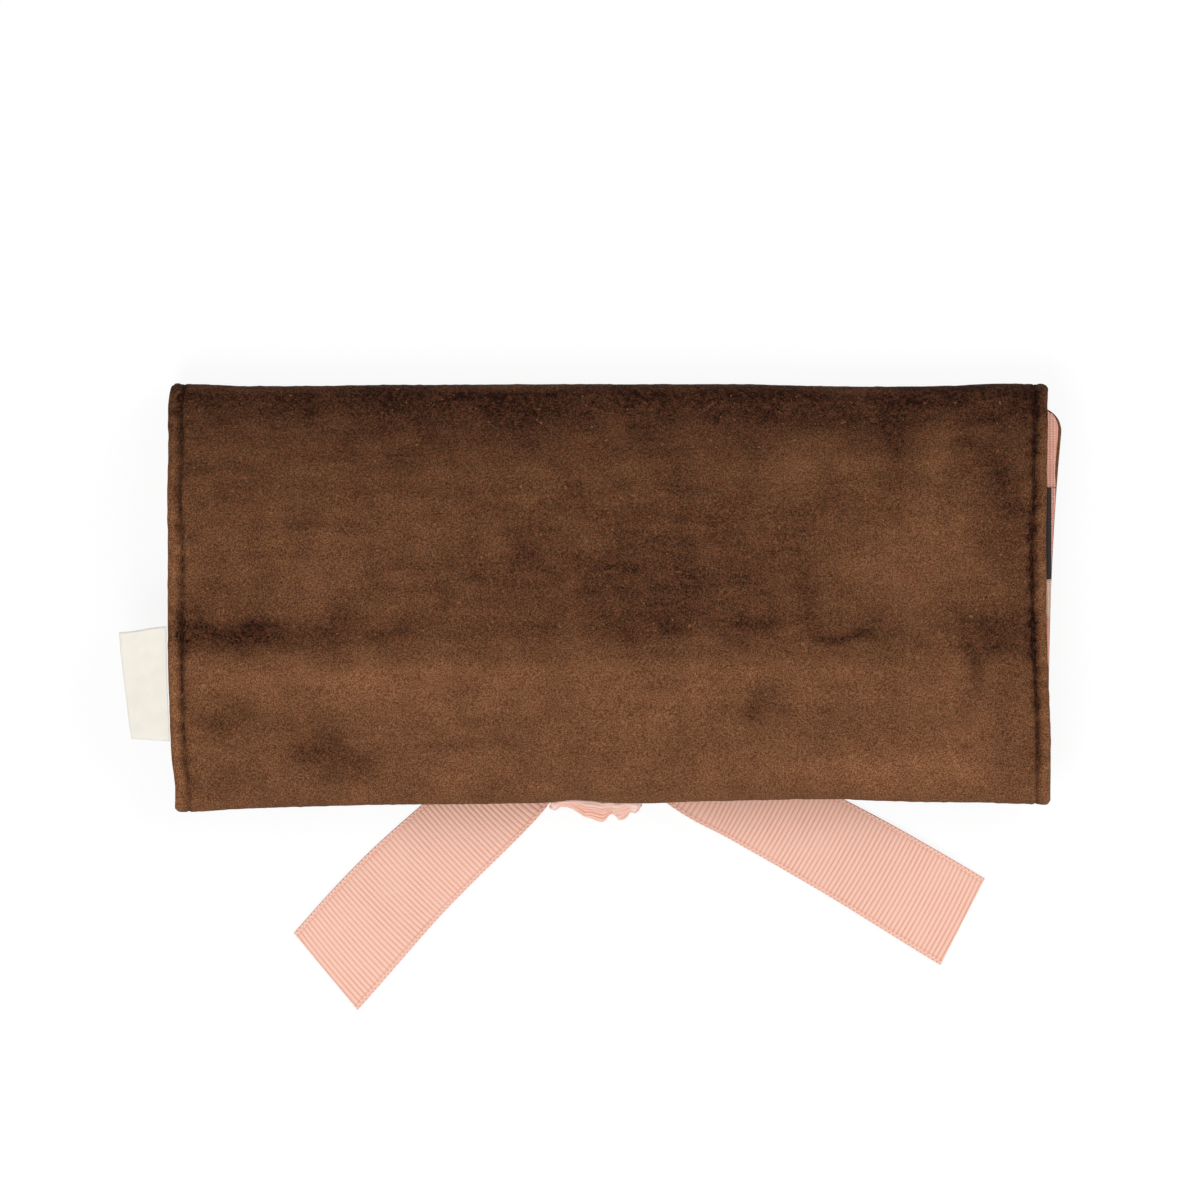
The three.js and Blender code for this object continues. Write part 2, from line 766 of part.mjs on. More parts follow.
function nosed(radius, half, mouth) {
  const shares = [0, 0.35, 0.7, 0.92, 1];
  const end = shares.map((share) => {
    const fall = Math.sqrt(1 - share ** 2);
    return [mix(mouth, radius, fall), half - barNoseLength + barNoseLength * share];
  });
  return [...end.toReversed().map(([r, x]) => [r, -x]), ...end];
}

const coverOuter = nosed(barRadius, barHalf, barMouth + barCover);
const coverInner = nosed(barRadius - barCover, barHalf - barCover, barMouth);
const coverRim = coverOuter[0];
addPart("ring_bar_cover", alongBar([...coverOuter, ...coverInner.toReversed(), coverRim]), materials.velvet);
const fillingHalf = barHalf - barNoseLength - tabSink;
addPart(
  "ring_bar_filling",
  alongBar([
    [0, -fillingHalf],
    [barRadius - barCover - seat, -fillingHalf],
    [barRadius - barCover - seat, fillingHalf],
    [0, fillingHalf],
  ]),
  materials.wadding,
);

// A ribbon of cloth along a path. Each station is [point, width, direction across].
function ribbon(stations, thick) {
  const outer = [];
  const inner = [];
  stations.forEach(([point, width, across], i) => {
    const before = stations[Math.max(i - 1, 0)][0];
    const after = stations[Math.min(i + 1, stations.length - 1)][0];
    const along = new THREE.Vector3().subVectors(after, before).normalize();
    const normal = new THREE.Vector3().crossVectors(across, along).normalize();
    const edge = (side, face) =>
      point.clone().addScaledVector(across, (side * width) / 2).addScaledVector(normal, (face * thick) / 2);
    outer.push([edge(-1, 1), edge(0, 1), edge(1, 1)]);
    inner.push([edge(-1, -1), edge(0, -1), edge(1, -1)]);
  });
  return slab(outer, inner);
}

const acrossX = new THREE.Vector3(1, 0, 0);
const acrossY = new THREE.Vector3(0, 1, 0);

// The bar's two tabs leave its noses and drop to the flap, one sewn down and one with the snap.
const studBottom = flapFace + seat;
const socketBottom = studBottom + snapPlate + seat;
const snapTabZ = socketBottom + snapSocketHeight + seat + tabThick / 2;
const anchorZ = studBottom + tabThick / 2;

function barTab(side, reach, restZ, flat) {
  const inside = barHalf - tabSink;
  const end = barHalf + reach;
  const bendWidth = mix(tabWidth, tabFlare, tabBendWidthShare);
  const places = [
    [inside, barAxisZ, tabWidth],
    [barHalf + seat, barAxisZ, tabWidth],
    [mix(barHalf, end - flat, tabBendShare), mix(barAxisZ, restZ, tabBendShare), bendWidth],
    [end - flat, restZ, tabFlare],
    [end - flat / 3, restZ, tabFlare],
    [end, restZ, tabFlare * tabEndWidthShare],
  ];
  return ribbon(
    places.map(([x, z, width]) => [new THREE.Vector3(side * x, barY, z), width, acrossY]),
    tabThick,
  );
}

addPart("ring_bar_anchor_tab", barTab(-1, anchorReach, anchorZ, anchorSewn), materials.velvet);
addPart("ring_bar_snap_tab", barTab(1, tabReach, snapTabZ, 2 * snapInset), materials.velvet);

const snapX = barHalf + tabReach - snapInset;

function snapPart(profile) {
  const points = profile.map(([radius, z]) => new THREE.Vector2(radius, z));
  const lathe = new THREE.LatheGeometry(points, 20).rotateX(Math.PI / 2);
  return toGeometry(toSolid(lathe.translate(snapX, barY, 0)));
}

const nubTop = studBottom + snapPlate + snapNubHeight;
addPart(
  "snap_stud",
  snapPart([
    [0, studBottom],
    [snapFlange, studBottom],
    [snapFlange, studBottom + snapPlate],
    [snapNub * nubWaistShare, studBottom + snapPlate],
    [snapNub, nubTop - snapNubHeight / 3],
    [snapNub * nubTipShare, nubTop],
    [0, nubTop],
  ]),
  materials.metal,
);
const socketTop = socketBottom + snapSocketHeight;
const socketBore = snapNub + seat;
addPart(
  "snap_socket",
  snapPart([
    [socketBore, socketBottom],
    [snapSocket, socketBottom],
    [snapSocket, socketTop - snapPlate],
    [snapSocket - snapPlate, socketTop],
    [socketBore, socketTop],
    [socketBore, socketBottom],
  ]),
  materials.metal,
);
const capBottom = snapTabZ + tabThick / 2 + seat;
addPart(
  "snap_cap",
  snapPart([
    [0, capBottom],
    [snapCap, capBottom],
    [snapCap, capBottom + snapCapHeight / 3],
    [snapCap * capShoulderShare, capBottom + snapCapHeight * capShoulderShare],
    [snapCap * capCrownShare, capBottom + snapCapHeight],
    [0, capBottom + snapCapHeight],
  ]),
  materials.metal,
);

// The bow's knot is a band round the gathered loops. Its hollow runs through along X.
function knotOutline(Curve, halfAcross, low, high, round) {
  const shape = new Curve();
  const [y0, y1] = [knotY - halfAcross, knotY + halfAcross];
  shape.moveTo(y0 + round, low);
  shape.lineTo(y1 - round, low);
  shape.absarc(y1 - round, low + round, round, -Math.PI / 2, 0, false);
  shape.absarc(y1 - round, high - round, round, 0, Math.PI / 2, false);
  shape.absarc(y0 + round, high - round, round, Math.PI / 2, Math.PI, false);
  shape.absarc(y0 + round, low + round, round, Math.PI, 1.5 * Math.PI, false);
  return shape;
}

const knotHalf = knotAcross / 2;
const knotShape = knotOutline(THREE.Shape, knotHalf, 0, knotHeight, knotRound);
const hollowRound = knotRound - knotWall;
knotShape.holes.push(
  knotOutline(THREE.Path, knotHalf - knotWall, knotWall, knotHeight - knotWall, hollowRound),
);
const knotOptions = { depth: knotLength, bevelEnabled: false, curveSegments: 4 };
const upright = new THREE.Matrix4().set(0, 0, 1, knotX - knotLength / 2, 1, 0, 0, 0, 0, 1, 0, 0, 0, 0, 0, 1);
const knotBand = new THREE.ExtrudeGeometry(knotShape, knotOptions).applyMatrix4(upright);
addPart("bow_knot", knotBand, materials.ribbon);

// A loop leaves the knot along the table side, turns at its end and comes back on top.
const tailLow = ribbonThick / 2 + seat;
const loopLow = tailLow + ribbonThick + seat + ribbonThick / 2;
const pinchLow = knotWall + 2 * (ribbonThick + seat) + ribbonThick / 2;
const pinchHigh = knotHeight - knotWall - seat - ribbonThick / 2;
const loopHigh = loopLow + loopHeight - ribbonThick;

function gathered(run, rootWidth) {
  return mix(rootWidth, ribbonWidth, THREE.MathUtils.smoothstep(run, 0, pinchRun));
}

function bowLoop(side) {
  const mouth = knotLength / 2;
  const radius = (loopHigh - loopLow) / 2;
  const straight = mouth + loopLength - radius;
  const runs = [mouth - pinchSink, mouth + seat, ...evenly(mouth + pinchRun / 5, straight, 7)];
  const station = (run, z) => {
    const share = Math.max(run - mouth, 0) / loopLength;
    const point = new THREE.Vector3(knotX + side * run, knotY - loopDroop * share, z);
    return [point, gathered(run - mouth - seat, pinchWidth), acrossY];
  };
  const spread = (run) => THREE.MathUtils.smoothstep(run - mouth, seat, pinchRun / 2);
  const lower = runs.map((run) => station(run, mix(pinchLow, loopLow, spread(run))));
  const turn = evenly(-75, 75, 5).map((degrees) => {
    const angle = THREE.MathUtils.degToRad(degrees);
    return station(straight + radius * Math.cos(angle), loopLow + radius + radius * Math.sin(angle));
  });
  const upper = runs.toReversed().map((run) => station(run, mix(pinchHigh, loopHigh, spread(run))));
  return ribbon([...lower, ...turn, ...upper], ribbonThick);
}

// A tail leaves the knot under its loop, drops to the table and runs out past the bottom fold.
function bowTail(side, middle, end) {
  const root = new THREE.Vector2(knotX + side * (knotLength / 2 - pinchSink / 2), knotY);
  const exit = new THREE.Vector2(knotX + side * (knotLength / 2 + 2 * seat), knotY - pinchSink / 2);
  const path = new THREE.SplineCurve([root, exit, new THREE.Vector2(...middle), new THREE.Vector2(...end)]);
  const length = path.getLength();
  const rootZ = knotWall + seat + ribbonThick / 2;
  const dropStart = pinchSink / 2 + tailRootWidth;
  const stations = evenly(0, 1, 22).map((share) => {
    const place = path.getPointAt(share);
    const direction = path.getTangentAt(share);
    const run = share * length;
    const drop = THREE.MathUtils.smoothstep(run, dropStart, dropStart + tailDrop);
    const outside = THREE.MathUtils.smoothstep(run, length / 2, length * tailFlatShare);
    const wave = tailRise * outside * Math.sin(Math.PI * tailWaves * share) ** 2;
    const width = gathered(run - dropStart, tailRootWidth);
    const across = new THREE.Vector3(-direction.y, direction.x, 0);
    return [new THREE.Vector3(place.x, place.y, mix(rootZ, tailLow, drop) + wave), width, across];
  });
  return ribbon(stations, ribbonThick);
}

addPart("bow_loop_left", bowLoop(-1), materials.ribbon);
addPart("bow_loop_right", bowLoop(1), materials.ribbon);
addPart("ribbon_tail_left", bowTail(-1, leftTailMid, leftTailEnd), materials.ribbon);
addPart("ribbon_tail_right", bowTail(1, rightTailMid, rightTailEnd), materials.ribbon);

// The ribbon sewn on the flap's edge runs down to the knot's upper side.
const knotTopY = knotY + knotHalf + seat;
const knotMiddle = knotHeight / 2;
const anchorRibbonZ = flapFace + seat + ribbonThick / 2;
const anchorRuns = anchorRunShares.map((share) => mix(flapEdgeY, knotTopY, share));
const anchorWidths = anchorGatherShares.map((share) => mix(ribbonWidth, pinchWidth, share));
addPart(
  "flap_ribbon",
  ribbon(
    [
      [flapEdgeY + anchorOverlap, anchorRibbonZ, ribbonWidth],
      [flapEdgeY + seat, anchorRibbonZ, ribbonWidth],
      [anchorRuns[0], anchorRibbonZ, anchorWidths[0]],
      [anchorRuns[1], knotMiddle, anchorWidths[1]],
      [knotTopY, knotMiddle, pinchWidth],
    ].map(([y, z, width]) => [new THREE.Vector3(knotX, y, z), width, acrossX]),
    ribbonThick,
  ),
  materials.ribbon,
);

// The ribbon sewn under the bottom fold bulges out past it, turns back and runs up to the knot.
const sewnZ = innerRootZ - panelThick - seat - ribbonThick / 2;
const returnZ = loopLow + seat;
const gatherY = -halfHeight - gatherReach + ribbonThick / 2;
const gatherMiddle = (sewnZ + returnZ) / 2;
const gatherRadius = (sewnZ - returnZ) / 2;
const knotLowY = knotY - knotHalf - seat;
addPart(
  "fold_ribbon",
  ribbon(
    [
      [-foldRootY + gatherSewn, sewnZ],
      [-foldRootY, sewnZ],
      [gatherY + gatherRadius * gatherOutShare, sewnZ],
      ...evenly(70, -70, 6).map((degrees) => {
        const angle = THREE.MathUtils.degToRad(degrees);
        const y = gatherY + gatherRadius - gatherRadius * Math.cos(angle);
        return [y, gatherMiddle + gatherRadius * Math.sin(angle)];
      }),
      [gatherY + gatherRadius * gatherBackShare, returnZ],
      [mix(gatherY, knotLowY, gatherRunShare), returnZ],
      [knotLowY, knotMiddle],
    ].map(([y, z]) => {
      const share = THREE.MathUtils.smoothstep(y, gatherY, knotLowY);
      const width = z > gatherMiddle ? gatherWidth : mix(gatherWidth, knotLength, share);
      return [new THREE.Vector3(mix(gatherX, knotX, share), y, z), width, acrossX];
    }),
    ribbonThick,
  ),
  materials.ribbon,
);

// The label is a folded strip whose ends are caught in the left seam.
const labelStart = stretches.back.distanceAt(labelTopY);
const labelEnd = stretches.back.distanceAt(labelBottomY);

function sideLabel() {
  const half = (labelThick + labelGap) / 2;
  const bend = evenly(-60, 60, 3).map((degrees) => THREE.MathUtils.degToRad(degrees));
  const section = [
    [seat, -half],
    [labelReach - half, -half],
    ...bend.map((angle) => [labelReach - half + half * Math.cos(angle), half * Math.sin(angle)]),
    [labelReach - half, half],
    [seat, half],
  ];
  const rows = evenly(0, 1, 4).map((share) => {
    const distance = mix(labelStart, labelEnd, share);
    const { point, normal } = stretches.back.at(distance);
    const [left] = outlines.back(distance);
    return { share, point, normal, left };
  });
  const face = (offset) =>
    rows.map(({ share, point, normal, left }) =>
      section.map(([reach, height], i) => {
        const before = section[Math.max(i - 1, 0)];
        const after = section[Math.min(i + 1, section.length - 1)];
        const along = new THREE.Vector2(after[0] - before[0], after[1] - before[1]).normalize();
        const out = reach - along.y * offset;
        const middle = (panelThick - velvetThick + seamRound) / 2;
        const lift = middle + height + along.x * offset;
        const skewed = out * mix(1 + labelFan / labelReach / 2, 1 - labelFan / labelReach / 2, share);
        return new THREE.Vector3(left - skewed, point.x + normal.x * lift, point.y + normal.y * lift);
      }),
    );
  return slab(face(labelThick / 2), face(-labelThick / 2));
}

addPart("side_label", sideLabel(), materials.label);

export default roll;
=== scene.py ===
import math

import bpy
import numpy as np
from bpy.props import FloatProperty, FloatVectorProperty, PointerProperty
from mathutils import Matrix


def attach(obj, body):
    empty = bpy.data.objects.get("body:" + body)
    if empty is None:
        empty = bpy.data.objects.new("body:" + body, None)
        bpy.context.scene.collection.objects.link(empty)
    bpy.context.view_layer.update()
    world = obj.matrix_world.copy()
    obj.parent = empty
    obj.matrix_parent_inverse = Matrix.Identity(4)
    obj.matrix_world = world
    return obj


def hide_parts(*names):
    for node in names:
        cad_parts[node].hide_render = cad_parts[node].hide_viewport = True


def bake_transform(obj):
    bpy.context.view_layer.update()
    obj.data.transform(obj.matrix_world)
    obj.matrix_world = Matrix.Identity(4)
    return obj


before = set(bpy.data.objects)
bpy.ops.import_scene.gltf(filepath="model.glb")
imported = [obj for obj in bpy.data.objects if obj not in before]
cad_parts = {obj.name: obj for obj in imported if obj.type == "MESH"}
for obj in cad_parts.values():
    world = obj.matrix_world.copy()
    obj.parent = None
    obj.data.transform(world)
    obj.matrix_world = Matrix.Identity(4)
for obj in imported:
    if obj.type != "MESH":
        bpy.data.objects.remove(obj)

bl_info = {
    "name": "Velvet Jewelry Roll",
    "version": (1, 0, 0),
    "blender": (4, 5, 0),
    "location": "View3D > Sidebar > Jewelry Roll",
    "description": "Dresses a folded velvet jewelry roll with its linings, zip, ring bar, bow and label",
    "category": "Add Mesh",
}

# Shapes are worked out in millimetres and put into metres when their mesh is made.
MM = 0.001

# The folded cloth's lining face in the YZ plane: y, z, heading in degrees and pull of its handles.
PROFILE = {
    "flap_edge": (-12.0, 3.3, 0, 1.0),
    "flap_root": (45.5, 3.3, 0, 1.0),
    "top_apex": (49.7, 8.875, 90, 1.7),
    "back_top_root": (45.5, 14.45, 152, 1.1),
    "back_over_bar": (24.0, 23.8, 180, 1.0),
    "back_valley": (-12.0, 19.7, 181, 1.0),
    "back_low": (-31.0, 20.2, 180, 1.0),
    "back_low_root": (-45.5, 18.1, 202, 1.0),
    "bottom_apex": (-49.7, 14.8, 270, 1.5),
    "inner_root": (-45.5, 11.5, 362, 1.0),
    "inner_over_knot": (-28.0, 12.1, 363, 1.0),
    "inner_over_bar": (24.0, 17.2, 361, 1.0),
    "inner_tip": (47.0, 12.65, 334, 1.0),
}

# Half widths of the two cloths, and how far their sides draw in, spread or lean out.
HALF_WIDTH = 111.0
TOP_NARROWING = 0.75
LEFT_NARROWING = 1.9
RIGHT_SPREAD = 0.75
FLAP_NARROWING = 1.0
CORNER_RADIUS = 6.5
INNER_HALF = 109.3
INNER_LEAN = 5.5

# Thickness of a panel and of its lining, the gap between them, and the most that the padding swells a panel.
PANEL_THICK = 3.3
LINING_THICK = 0.4
LINING_CLEARANCE = 0.06
CUSHION = 0.95

# The turned edge: heights over the lining face, the width of its round, where the topstitching lies, how deep
# its hollow is, and the linings' insets.
EDGE_MIDDLE = 1.7
RIDGE_HEIGHT = 3.12
RIDGE_ROUND = 1.7
GROOVE_IN = 3.5
SEAM_HOLLOW = 0.28
COVER_RIM = 1.3
INNER_RIM = 0.75

# How far the bottom fold sags and the top fold stands up, at these x places.
FOLD_SAG = (
    [-112, -104, -98, -92, -80, -60, -31, -14, 5, 11, 19, 35, 47, 59, 66, 78, 96, 102, 112],
    [-2.3, -2, -1.5, -1.1, -0.7, -0.15, 0.1, 0.4, 0.25, 0.25, 0.6, 1, 1.25, 1.3, 0.95, 0.6, 0.4, 0.15, -0.4],
)
FOLD_CROWN = (
    [-112, -104, -92, -74, -55, -38, -20, 35, 47, 65, 78, 90, 96, 112],
    [0.45, 0, -0.55, -0.5, -0.2, -0.2, -0.05, -0.05, -0.4, -0.7, -0.65, -0.3, 0.05, 0.2],
)

# Creases of the back panel: x and y of both ends, half width and depth.
BACK_CREASES = [
    (-112.0, -11.3, -66.0, -11.0, 2.6, 0.85),
    (-66.0, -11.0, -30.0, -12.6, 4.2, 0.55),
    (-30.0, -12.6, 60.0, -12.0, 5.2, 0.4),
    (60.0, -12.0, 112.0, -13.5, 5.0, 0.45),
    (56.6, -10.3, 66.2, -9.9, 1.1, 0.75),
    (90.8, -12.5, 94.4, -24.0, 1.3, 0.38),
    (96.4, -15.0, 96.0, -27.0, 1.5, 0.3),
    (84.0, 49.5, 110.0, 47.6, 0.9, 0.3),
    (40.0, 48.6, 84.0, 49.4, 1.2, 0.22),
    (77.5, 13.0, 79.0, 34.0, 1.6, 0.18),
    (-104.0, -22.0, -88.0, -31.0, 4.0, 0.25),
    (-74.0, -36.0, -58.0, -43.0, 4.5, 0.3),
    (36.0, -27.0, 42.0, -33.0, 3.2, 0.3),
    (-2.0, -29.0, 6.0, -38.0, 3.0, 0.16),
]

# Where the back panel's pile is darker or lighter, partly from how it is brushed and partly painted shade and
# highlight on its creases, dents, valley and folds: x, y, spread in x and y, and by how much.
PILE_AND_SHADE_MARKS = [
    (-106.0, 17.0, 2.4, 24.0, 0.13),
    (-91.5, -48.5, 4.0, 3.0, -0.13),
    (-99.5, -36.0, 2.5, 7.0, -0.06),
    (-80.0, -33.5, 8.0, 4.5, -0.11),
    (-85.0, -13.5, 13.0, 3.0, -0.12),
    (90.5, -26.0, 4.0, 9.0, -0.14),
    (103.0, -44.0, 7.0, 5.0, -0.12),
    (54.0, -31.0, 12.0, 6.0, -0.07),
    (46.0, 46.0, 12.0, 4.0, -0.08),
    (-62.0, 44.0, 9.0, 4.0, -0.08),
    (-25.0, 27.0, 7.0, 4.0, -0.06),
    (-26.0, 8.0, 7.0, 5.0, -0.08),
    (-58.0, 8.0, 10.0, 4.0, -0.06),
    (46.0, 1.0, 7.0, 9.0, -0.07),
    (-63.0, -44.0, 16.0, 5.0, -0.09),
    (-35.0, -14.5, 14.0, 3.0, 0.08),
    (8.0, 5.0, 34.0, 14.0, -0.16),
    (77.0, 8.0, 17.0, 14.0, 0.2),
    (50.0, 33.0, 13.0, 6.0, 0.2),
    (82.0, 36.0, 4.5, 15.0, 0.2),
    (71.5, 35.0, 4.5, 12.0, -0.16),
    (100.0, 24.0, 6.0, 14.0, -0.16),
    (-68.0, 10.0, 40.0, 14.0, 0.08),
    (-94.0, -9.6, 17.0, 3.6, -0.3),
    (-60.0, -8.0, 22.0, 3.4, -0.1),
    (22.0, -7.0, 30.0, 4.0, -0.1),
    (61.0, -10.2, 7.0, 1.8, -0.3),
    (100.0, -10.0, 8.0, 6.0, -0.14),
    (92.0, -18.0, 2.4, 8.0, -0.25),
    (-95.0, -31.0, 9.0, 4.0, -0.26),
    (-68.0, -40.0, 11.0, 5.0, -0.3),
    (-41.0, -37.5, 6.0, 3.0, -0.16),
    (-14.0, -29.0, 2.5, 4.0, -0.16),
    (40.0, -29.0, 6.0, 4.5, -0.34),
    (103.0, -27.0, 6.0, 14.0, -0.18),
    (66.0, -44.0, 32.0, 5.0, 0.2),
    (-60.0, -22.0, 26.0, 6.0, 0.14),
    (-98.0, -48.0, 7.0, 4.0, -0.18),
    (-30.0, 30.0, 18.0, 5.0, 0.06),
    (-80.0, 41.0, 12.0, 6.0, 0.1),
]

# How much darker the pile is in a seam that the photograph doesn't show.
SEAM_SHADE = 0.3

# The pile's tone up the back panel, partly from how it is brushed and partly painted shade and light, darkest
# in
# the valley and at the top fold: bottom fold, low panel, valley, middle, upper panel, top fold.
NAP_PLACES = [-53, -38, -20, -11, 12, 34, 42, 50]
PILE_AND_SHADE_TONES = [0.58, 0.56, 0.62, 0.36, 0.37, 0.34, 0.22, 0.04]

# The ribbon: its half width, its thickness, the pitch of its warp, and where its selvedge and its two rows of
# loops lie, as shares of the half width.
RIBBON_HALF = 12.5
RIBBON_THICK = 0.4
WARP_PITCH = 0.34
SELVEDGE_START = 0.885
LOOP_ROWS = (0.925, 0.975)

# Places across the ribbon, which are closer together in its selvedges.
SELVEDGE = [1, 0.992, 0.98, 0.965, 0.95, 0.936, 0.922, 0.908, 0.896]
ACROSS = np.concatenate([np.negative(SELVEDGE), np.linspace(-0.86, 0.86, 15), SELVEDGE[::-1]])

# The bow's knot, half its width, and the length of a tail over which its cut end comes to lean.
KNOT = np.array([-5.0, -28.0, 0.0])
KNOT_HALF = 6.25
SLANT_RUN = 36

# The ring bar's half length, axis and radius, and how far the side label stands out.
RING_HALF = 88
RING_Y, RING_Z = 24, 8.6
RING_RADIUS = 5.0
LABEL_REACH = 11.2

# The camera's place in metres, the width that it shows on the table, and its sensor's width in millimetres.
CAMERA_PLACE = (-0.00215, -0.0015, 8.0)
SHOWN_WIDTH = 0.30303
SENSOR_WIDTH = 36


# Curves and relief


def smooth(share):
    """Rises softly from nought to one."""
    share = np.clip(share, 0, 1)
    return share * share * (3 - 2 * share)


def wander(x, y, scale, seed):
    """Soft irregular relief, mostly from minus one to one, with bumps about this far apart."""
    chance = np.random.default_rng(seed)
    total = np.zeros(np.broadcast(x, y).shape)
    for _ in range(8):
        turn, start = chance.uniform(0, 2 * math.pi, 2)
        pitch = scale * chance.uniform(0.7, 1.7)
        total += np.sin(2 * math.pi * (x * math.cos(turn) + y * math.sin(turn)) / pitch + start)
    return total / 3.4


def waver(along, scale, seed):
    """The same irregularity along a line."""
    return wander(along, 0 * along, scale, seed)


def hump(distance, width):
    """A soft hump of height one round nought."""
    return np.exp(-((distance / width) ** 2))


def rounding(inwards, least=0.05):
    """The share of its thickness that a cloth has by its edge, where one is the end of the round."""
    return np.sqrt(np.clip(inwards, least, 1))


def unit(vectors):
    """The same directions at length one."""
    return vectors / np.linalg.norm(vectors, axis=-1, keepdims=True)


def run_along(path):
    """How far along a path each of its points is."""
    return np.concatenate([[0], np.cumsum(np.linalg.norm(np.diff(path, axis=0), axis=1))])


def crease_depth(x, y, creases):
    """Depth of a set of soft creases under each place."""
    total = np.zeros(np.broadcast(x, y).shape)
    for x0, y0, x1, y1, width, depth in creases:
        length = math.hypot(x1 - x0, y1 - y0)
        ux, uy = (x1 - x0) / length, (y1 - y0) / length
        run = (x - x0) * ux + (y - y0) * uy
        off = (x - x0) * uy - (y - y0) * ux
        past = np.maximum(np.maximum(-run, run - length), 0)
        total += depth * np.exp(-((off / width) ** 2) - (past / (2 * width)) ** 2)
    return total


class Stretch:
    """A length of the folded cloth's profile, measured along its lining face."""

    def __init__(self, *names):
        pieces = []
        counts = [0]
        for here, there in zip(names, names[1:]):
            y0, z0, turn0, pull0 = PROFILE[here]
            y1, z1, turn1, pull1 = PROFILE[there]
            handle = math.hypot(y1 - y0, z1 - z0) / 3
            a, b = math.radians(turn0), math.radians(turn1)
            start, end = np.array([y0, z0]), np.array([y1, z1])
            leave = start + handle * pull0 * np.array([math.cos(a), math.sin(a)])
            arrive = end - handle * pull1 * np.array([math.cos(b), math.sin(b)])
            t = np.linspace(0, 1, 161)[:-1, None]
            pieces.append(
                (1 - t) ** 3 * start
                + 3 * (1 - t) ** 2 * t * leave
                + 3 * (1 - t) * t * t * arrive
                + t**3 * end
            )
            counts.append(counts[-1] + len(t))
        pieces.append(end[None])
        self.path = np.vstack(pieces)
        self.run = run_along(self.path)
        self.length = self.run[-1]
        self.mark = {name: self.run[count] for name, count in zip(names, counts)}
        ahead = unit(np.gradient(self.path, self.run, axis=0))
        self.normal = np.column_stack([ahead[:, 1], -ahead[:, 0]])

    def at(self, distance):
        """Points and outward normals, as y and z, at these distances."""
        place = [np.interp(distance, self.run, self.path[:, k]) for k in (0, 1)]
        normal = [np.interp(distance, self.run, self.normal[:, k]) for k in (0, 1)]
        size = np.hypot(*normal)
        return place[0], place[1], normal[0] / size, normal[1] / size

    def distance_at(self, y, after):
        """How far along the stretch it first passes over y, past the named knot."""
        begin = np.searchsorted(self.run, self.mark[after])
        return self.run[begin + np.argmin(np.abs(self.path[begin:, 0] - y))]


COVER = Stretch(
    "flap_edge", "flap_root", "top_apex", "back_top_root", "back_over_bar",
    "back_valley", "back_low", "back_low_root", "bottom_apex",
)
INNER = Stretch("bottom_apex", "inner_root", "inner_over_knot", "inner_over_bar", "inner_tip")


def corner_inset(from_edge):
    """How far a round corner draws the side in, at a distance from the free edge."""
    rise = CORNER_RADIUS - np.clip(from_edge, 0, CORNER_RADIUS)
    return CORNER_RADIUS - np.sqrt(CORNER_RADIUS**2 - rise**2)


def cover_sides(distance):
    """Left and right edge of the outer cloth, from the flap round the top fold to the bottom fold."""
    root = COVER.mark["flap_root"]
    top, low = COVER.mark["back_top_root"], COVER.mark["back_low_root"]
    share = np.clip(2 * (distance - top) / (low - top) - 1, -1, 1)
    at_fold = hump(distance - COVER.mark["top_apex"], 4.5)
    drawn_in = FLAP_NARROWING * np.clip(1 - distance / root, 0, 1) + corner_inset(distance)
    left = -HALF_WIDTH + TOP_NARROWING * at_fold + np.where(share < 0, 0, LEFT_NARROWING * share**4)
    left = left + drawn_in + 0.14 * waver(distance, 21, 3) + 0.06 * waver(distance, 4, 7)
    right = HALF_WIDTH - 0.35 + RIGHT_SPREAD * smooth((share - 0.35) / 0.5) + 0.35 * at_fold
    right = right - 0.55 * hump(share + 0.25, 0.42) - drawn_in
    return left, right + 0.08 * waver(distance, 17, 4) + 0.06 * waver(distance, 4, 8)


def inner_sides(distance):
    """Left and right edge of the inner panel, which leans out past the cover at its top right."""
    root = INNER.mark["inner_root"]
    share = np.clip((distance - root) / (INNER.length - root), 0, 1)
    drawn_in = corner_inset(INNER.length - distance)
    left = -INNER_HALF + INNER_LEAN * share**1.7
    hidden = HALF_WIDTH - 0.05
    right = hidden + (INNER_HALF + INNER_LEAN - hidden) * share**2.6
    return left + drawn_in, right - drawn_in


def settled(points):
    """Moves shaped cloth by the small sags of the real one, which lie mostly along its two folds."""
    x, y = points[..., 0], points[..., 1]
    sag = np.interp(x, *FOLD_SAG) + 0.9 * hump(x + 7.2, 4.8)
    crown = np.interp(x, *FOLD_CROWN)
    moved = points.copy()
    moved[..., 1] = y + sag * smooth((-26 - y) / 24) + crown * smooth((y - 38) / 12)
    return moved


def quarter_round(share):
    """Rises to one like a quarter of a circle."""
    return np.sqrt(1 - (1 - np.clip(share, 0, 1)) ** 2)


def edge_height(distance):
    """Height of the velvet's outer face over the lining face, by distance in from its turned edge."""
    height = EDGE_MIDDLE + (RIDGE_HEIGHT - EDGE_MIDDLE) * quarter_round(distance / RIDGE_ROUND)
    return height + (PANEL_THICK - RIDGE_HEIGHT) * smooth((distance - 4) / 5)


def rim_height(distance, rim):
    """Height of the velvet's hidden face over the lining face. Its rim rolls round beside the lining."""
    rolled = 0.7 * rim
    flat = (LINING_THICK + LINING_CLEARANCE) * smooth((distance - rolled) / 0.45)
    return EDGE_MIDDLE * (1 - quarter_round(distance / rolled)) + flat


def seam_wander(along, seed):
    """How far the topstitching strays from its line."""
    return 0.2 * waver(along, 16, seed)


# Meshes


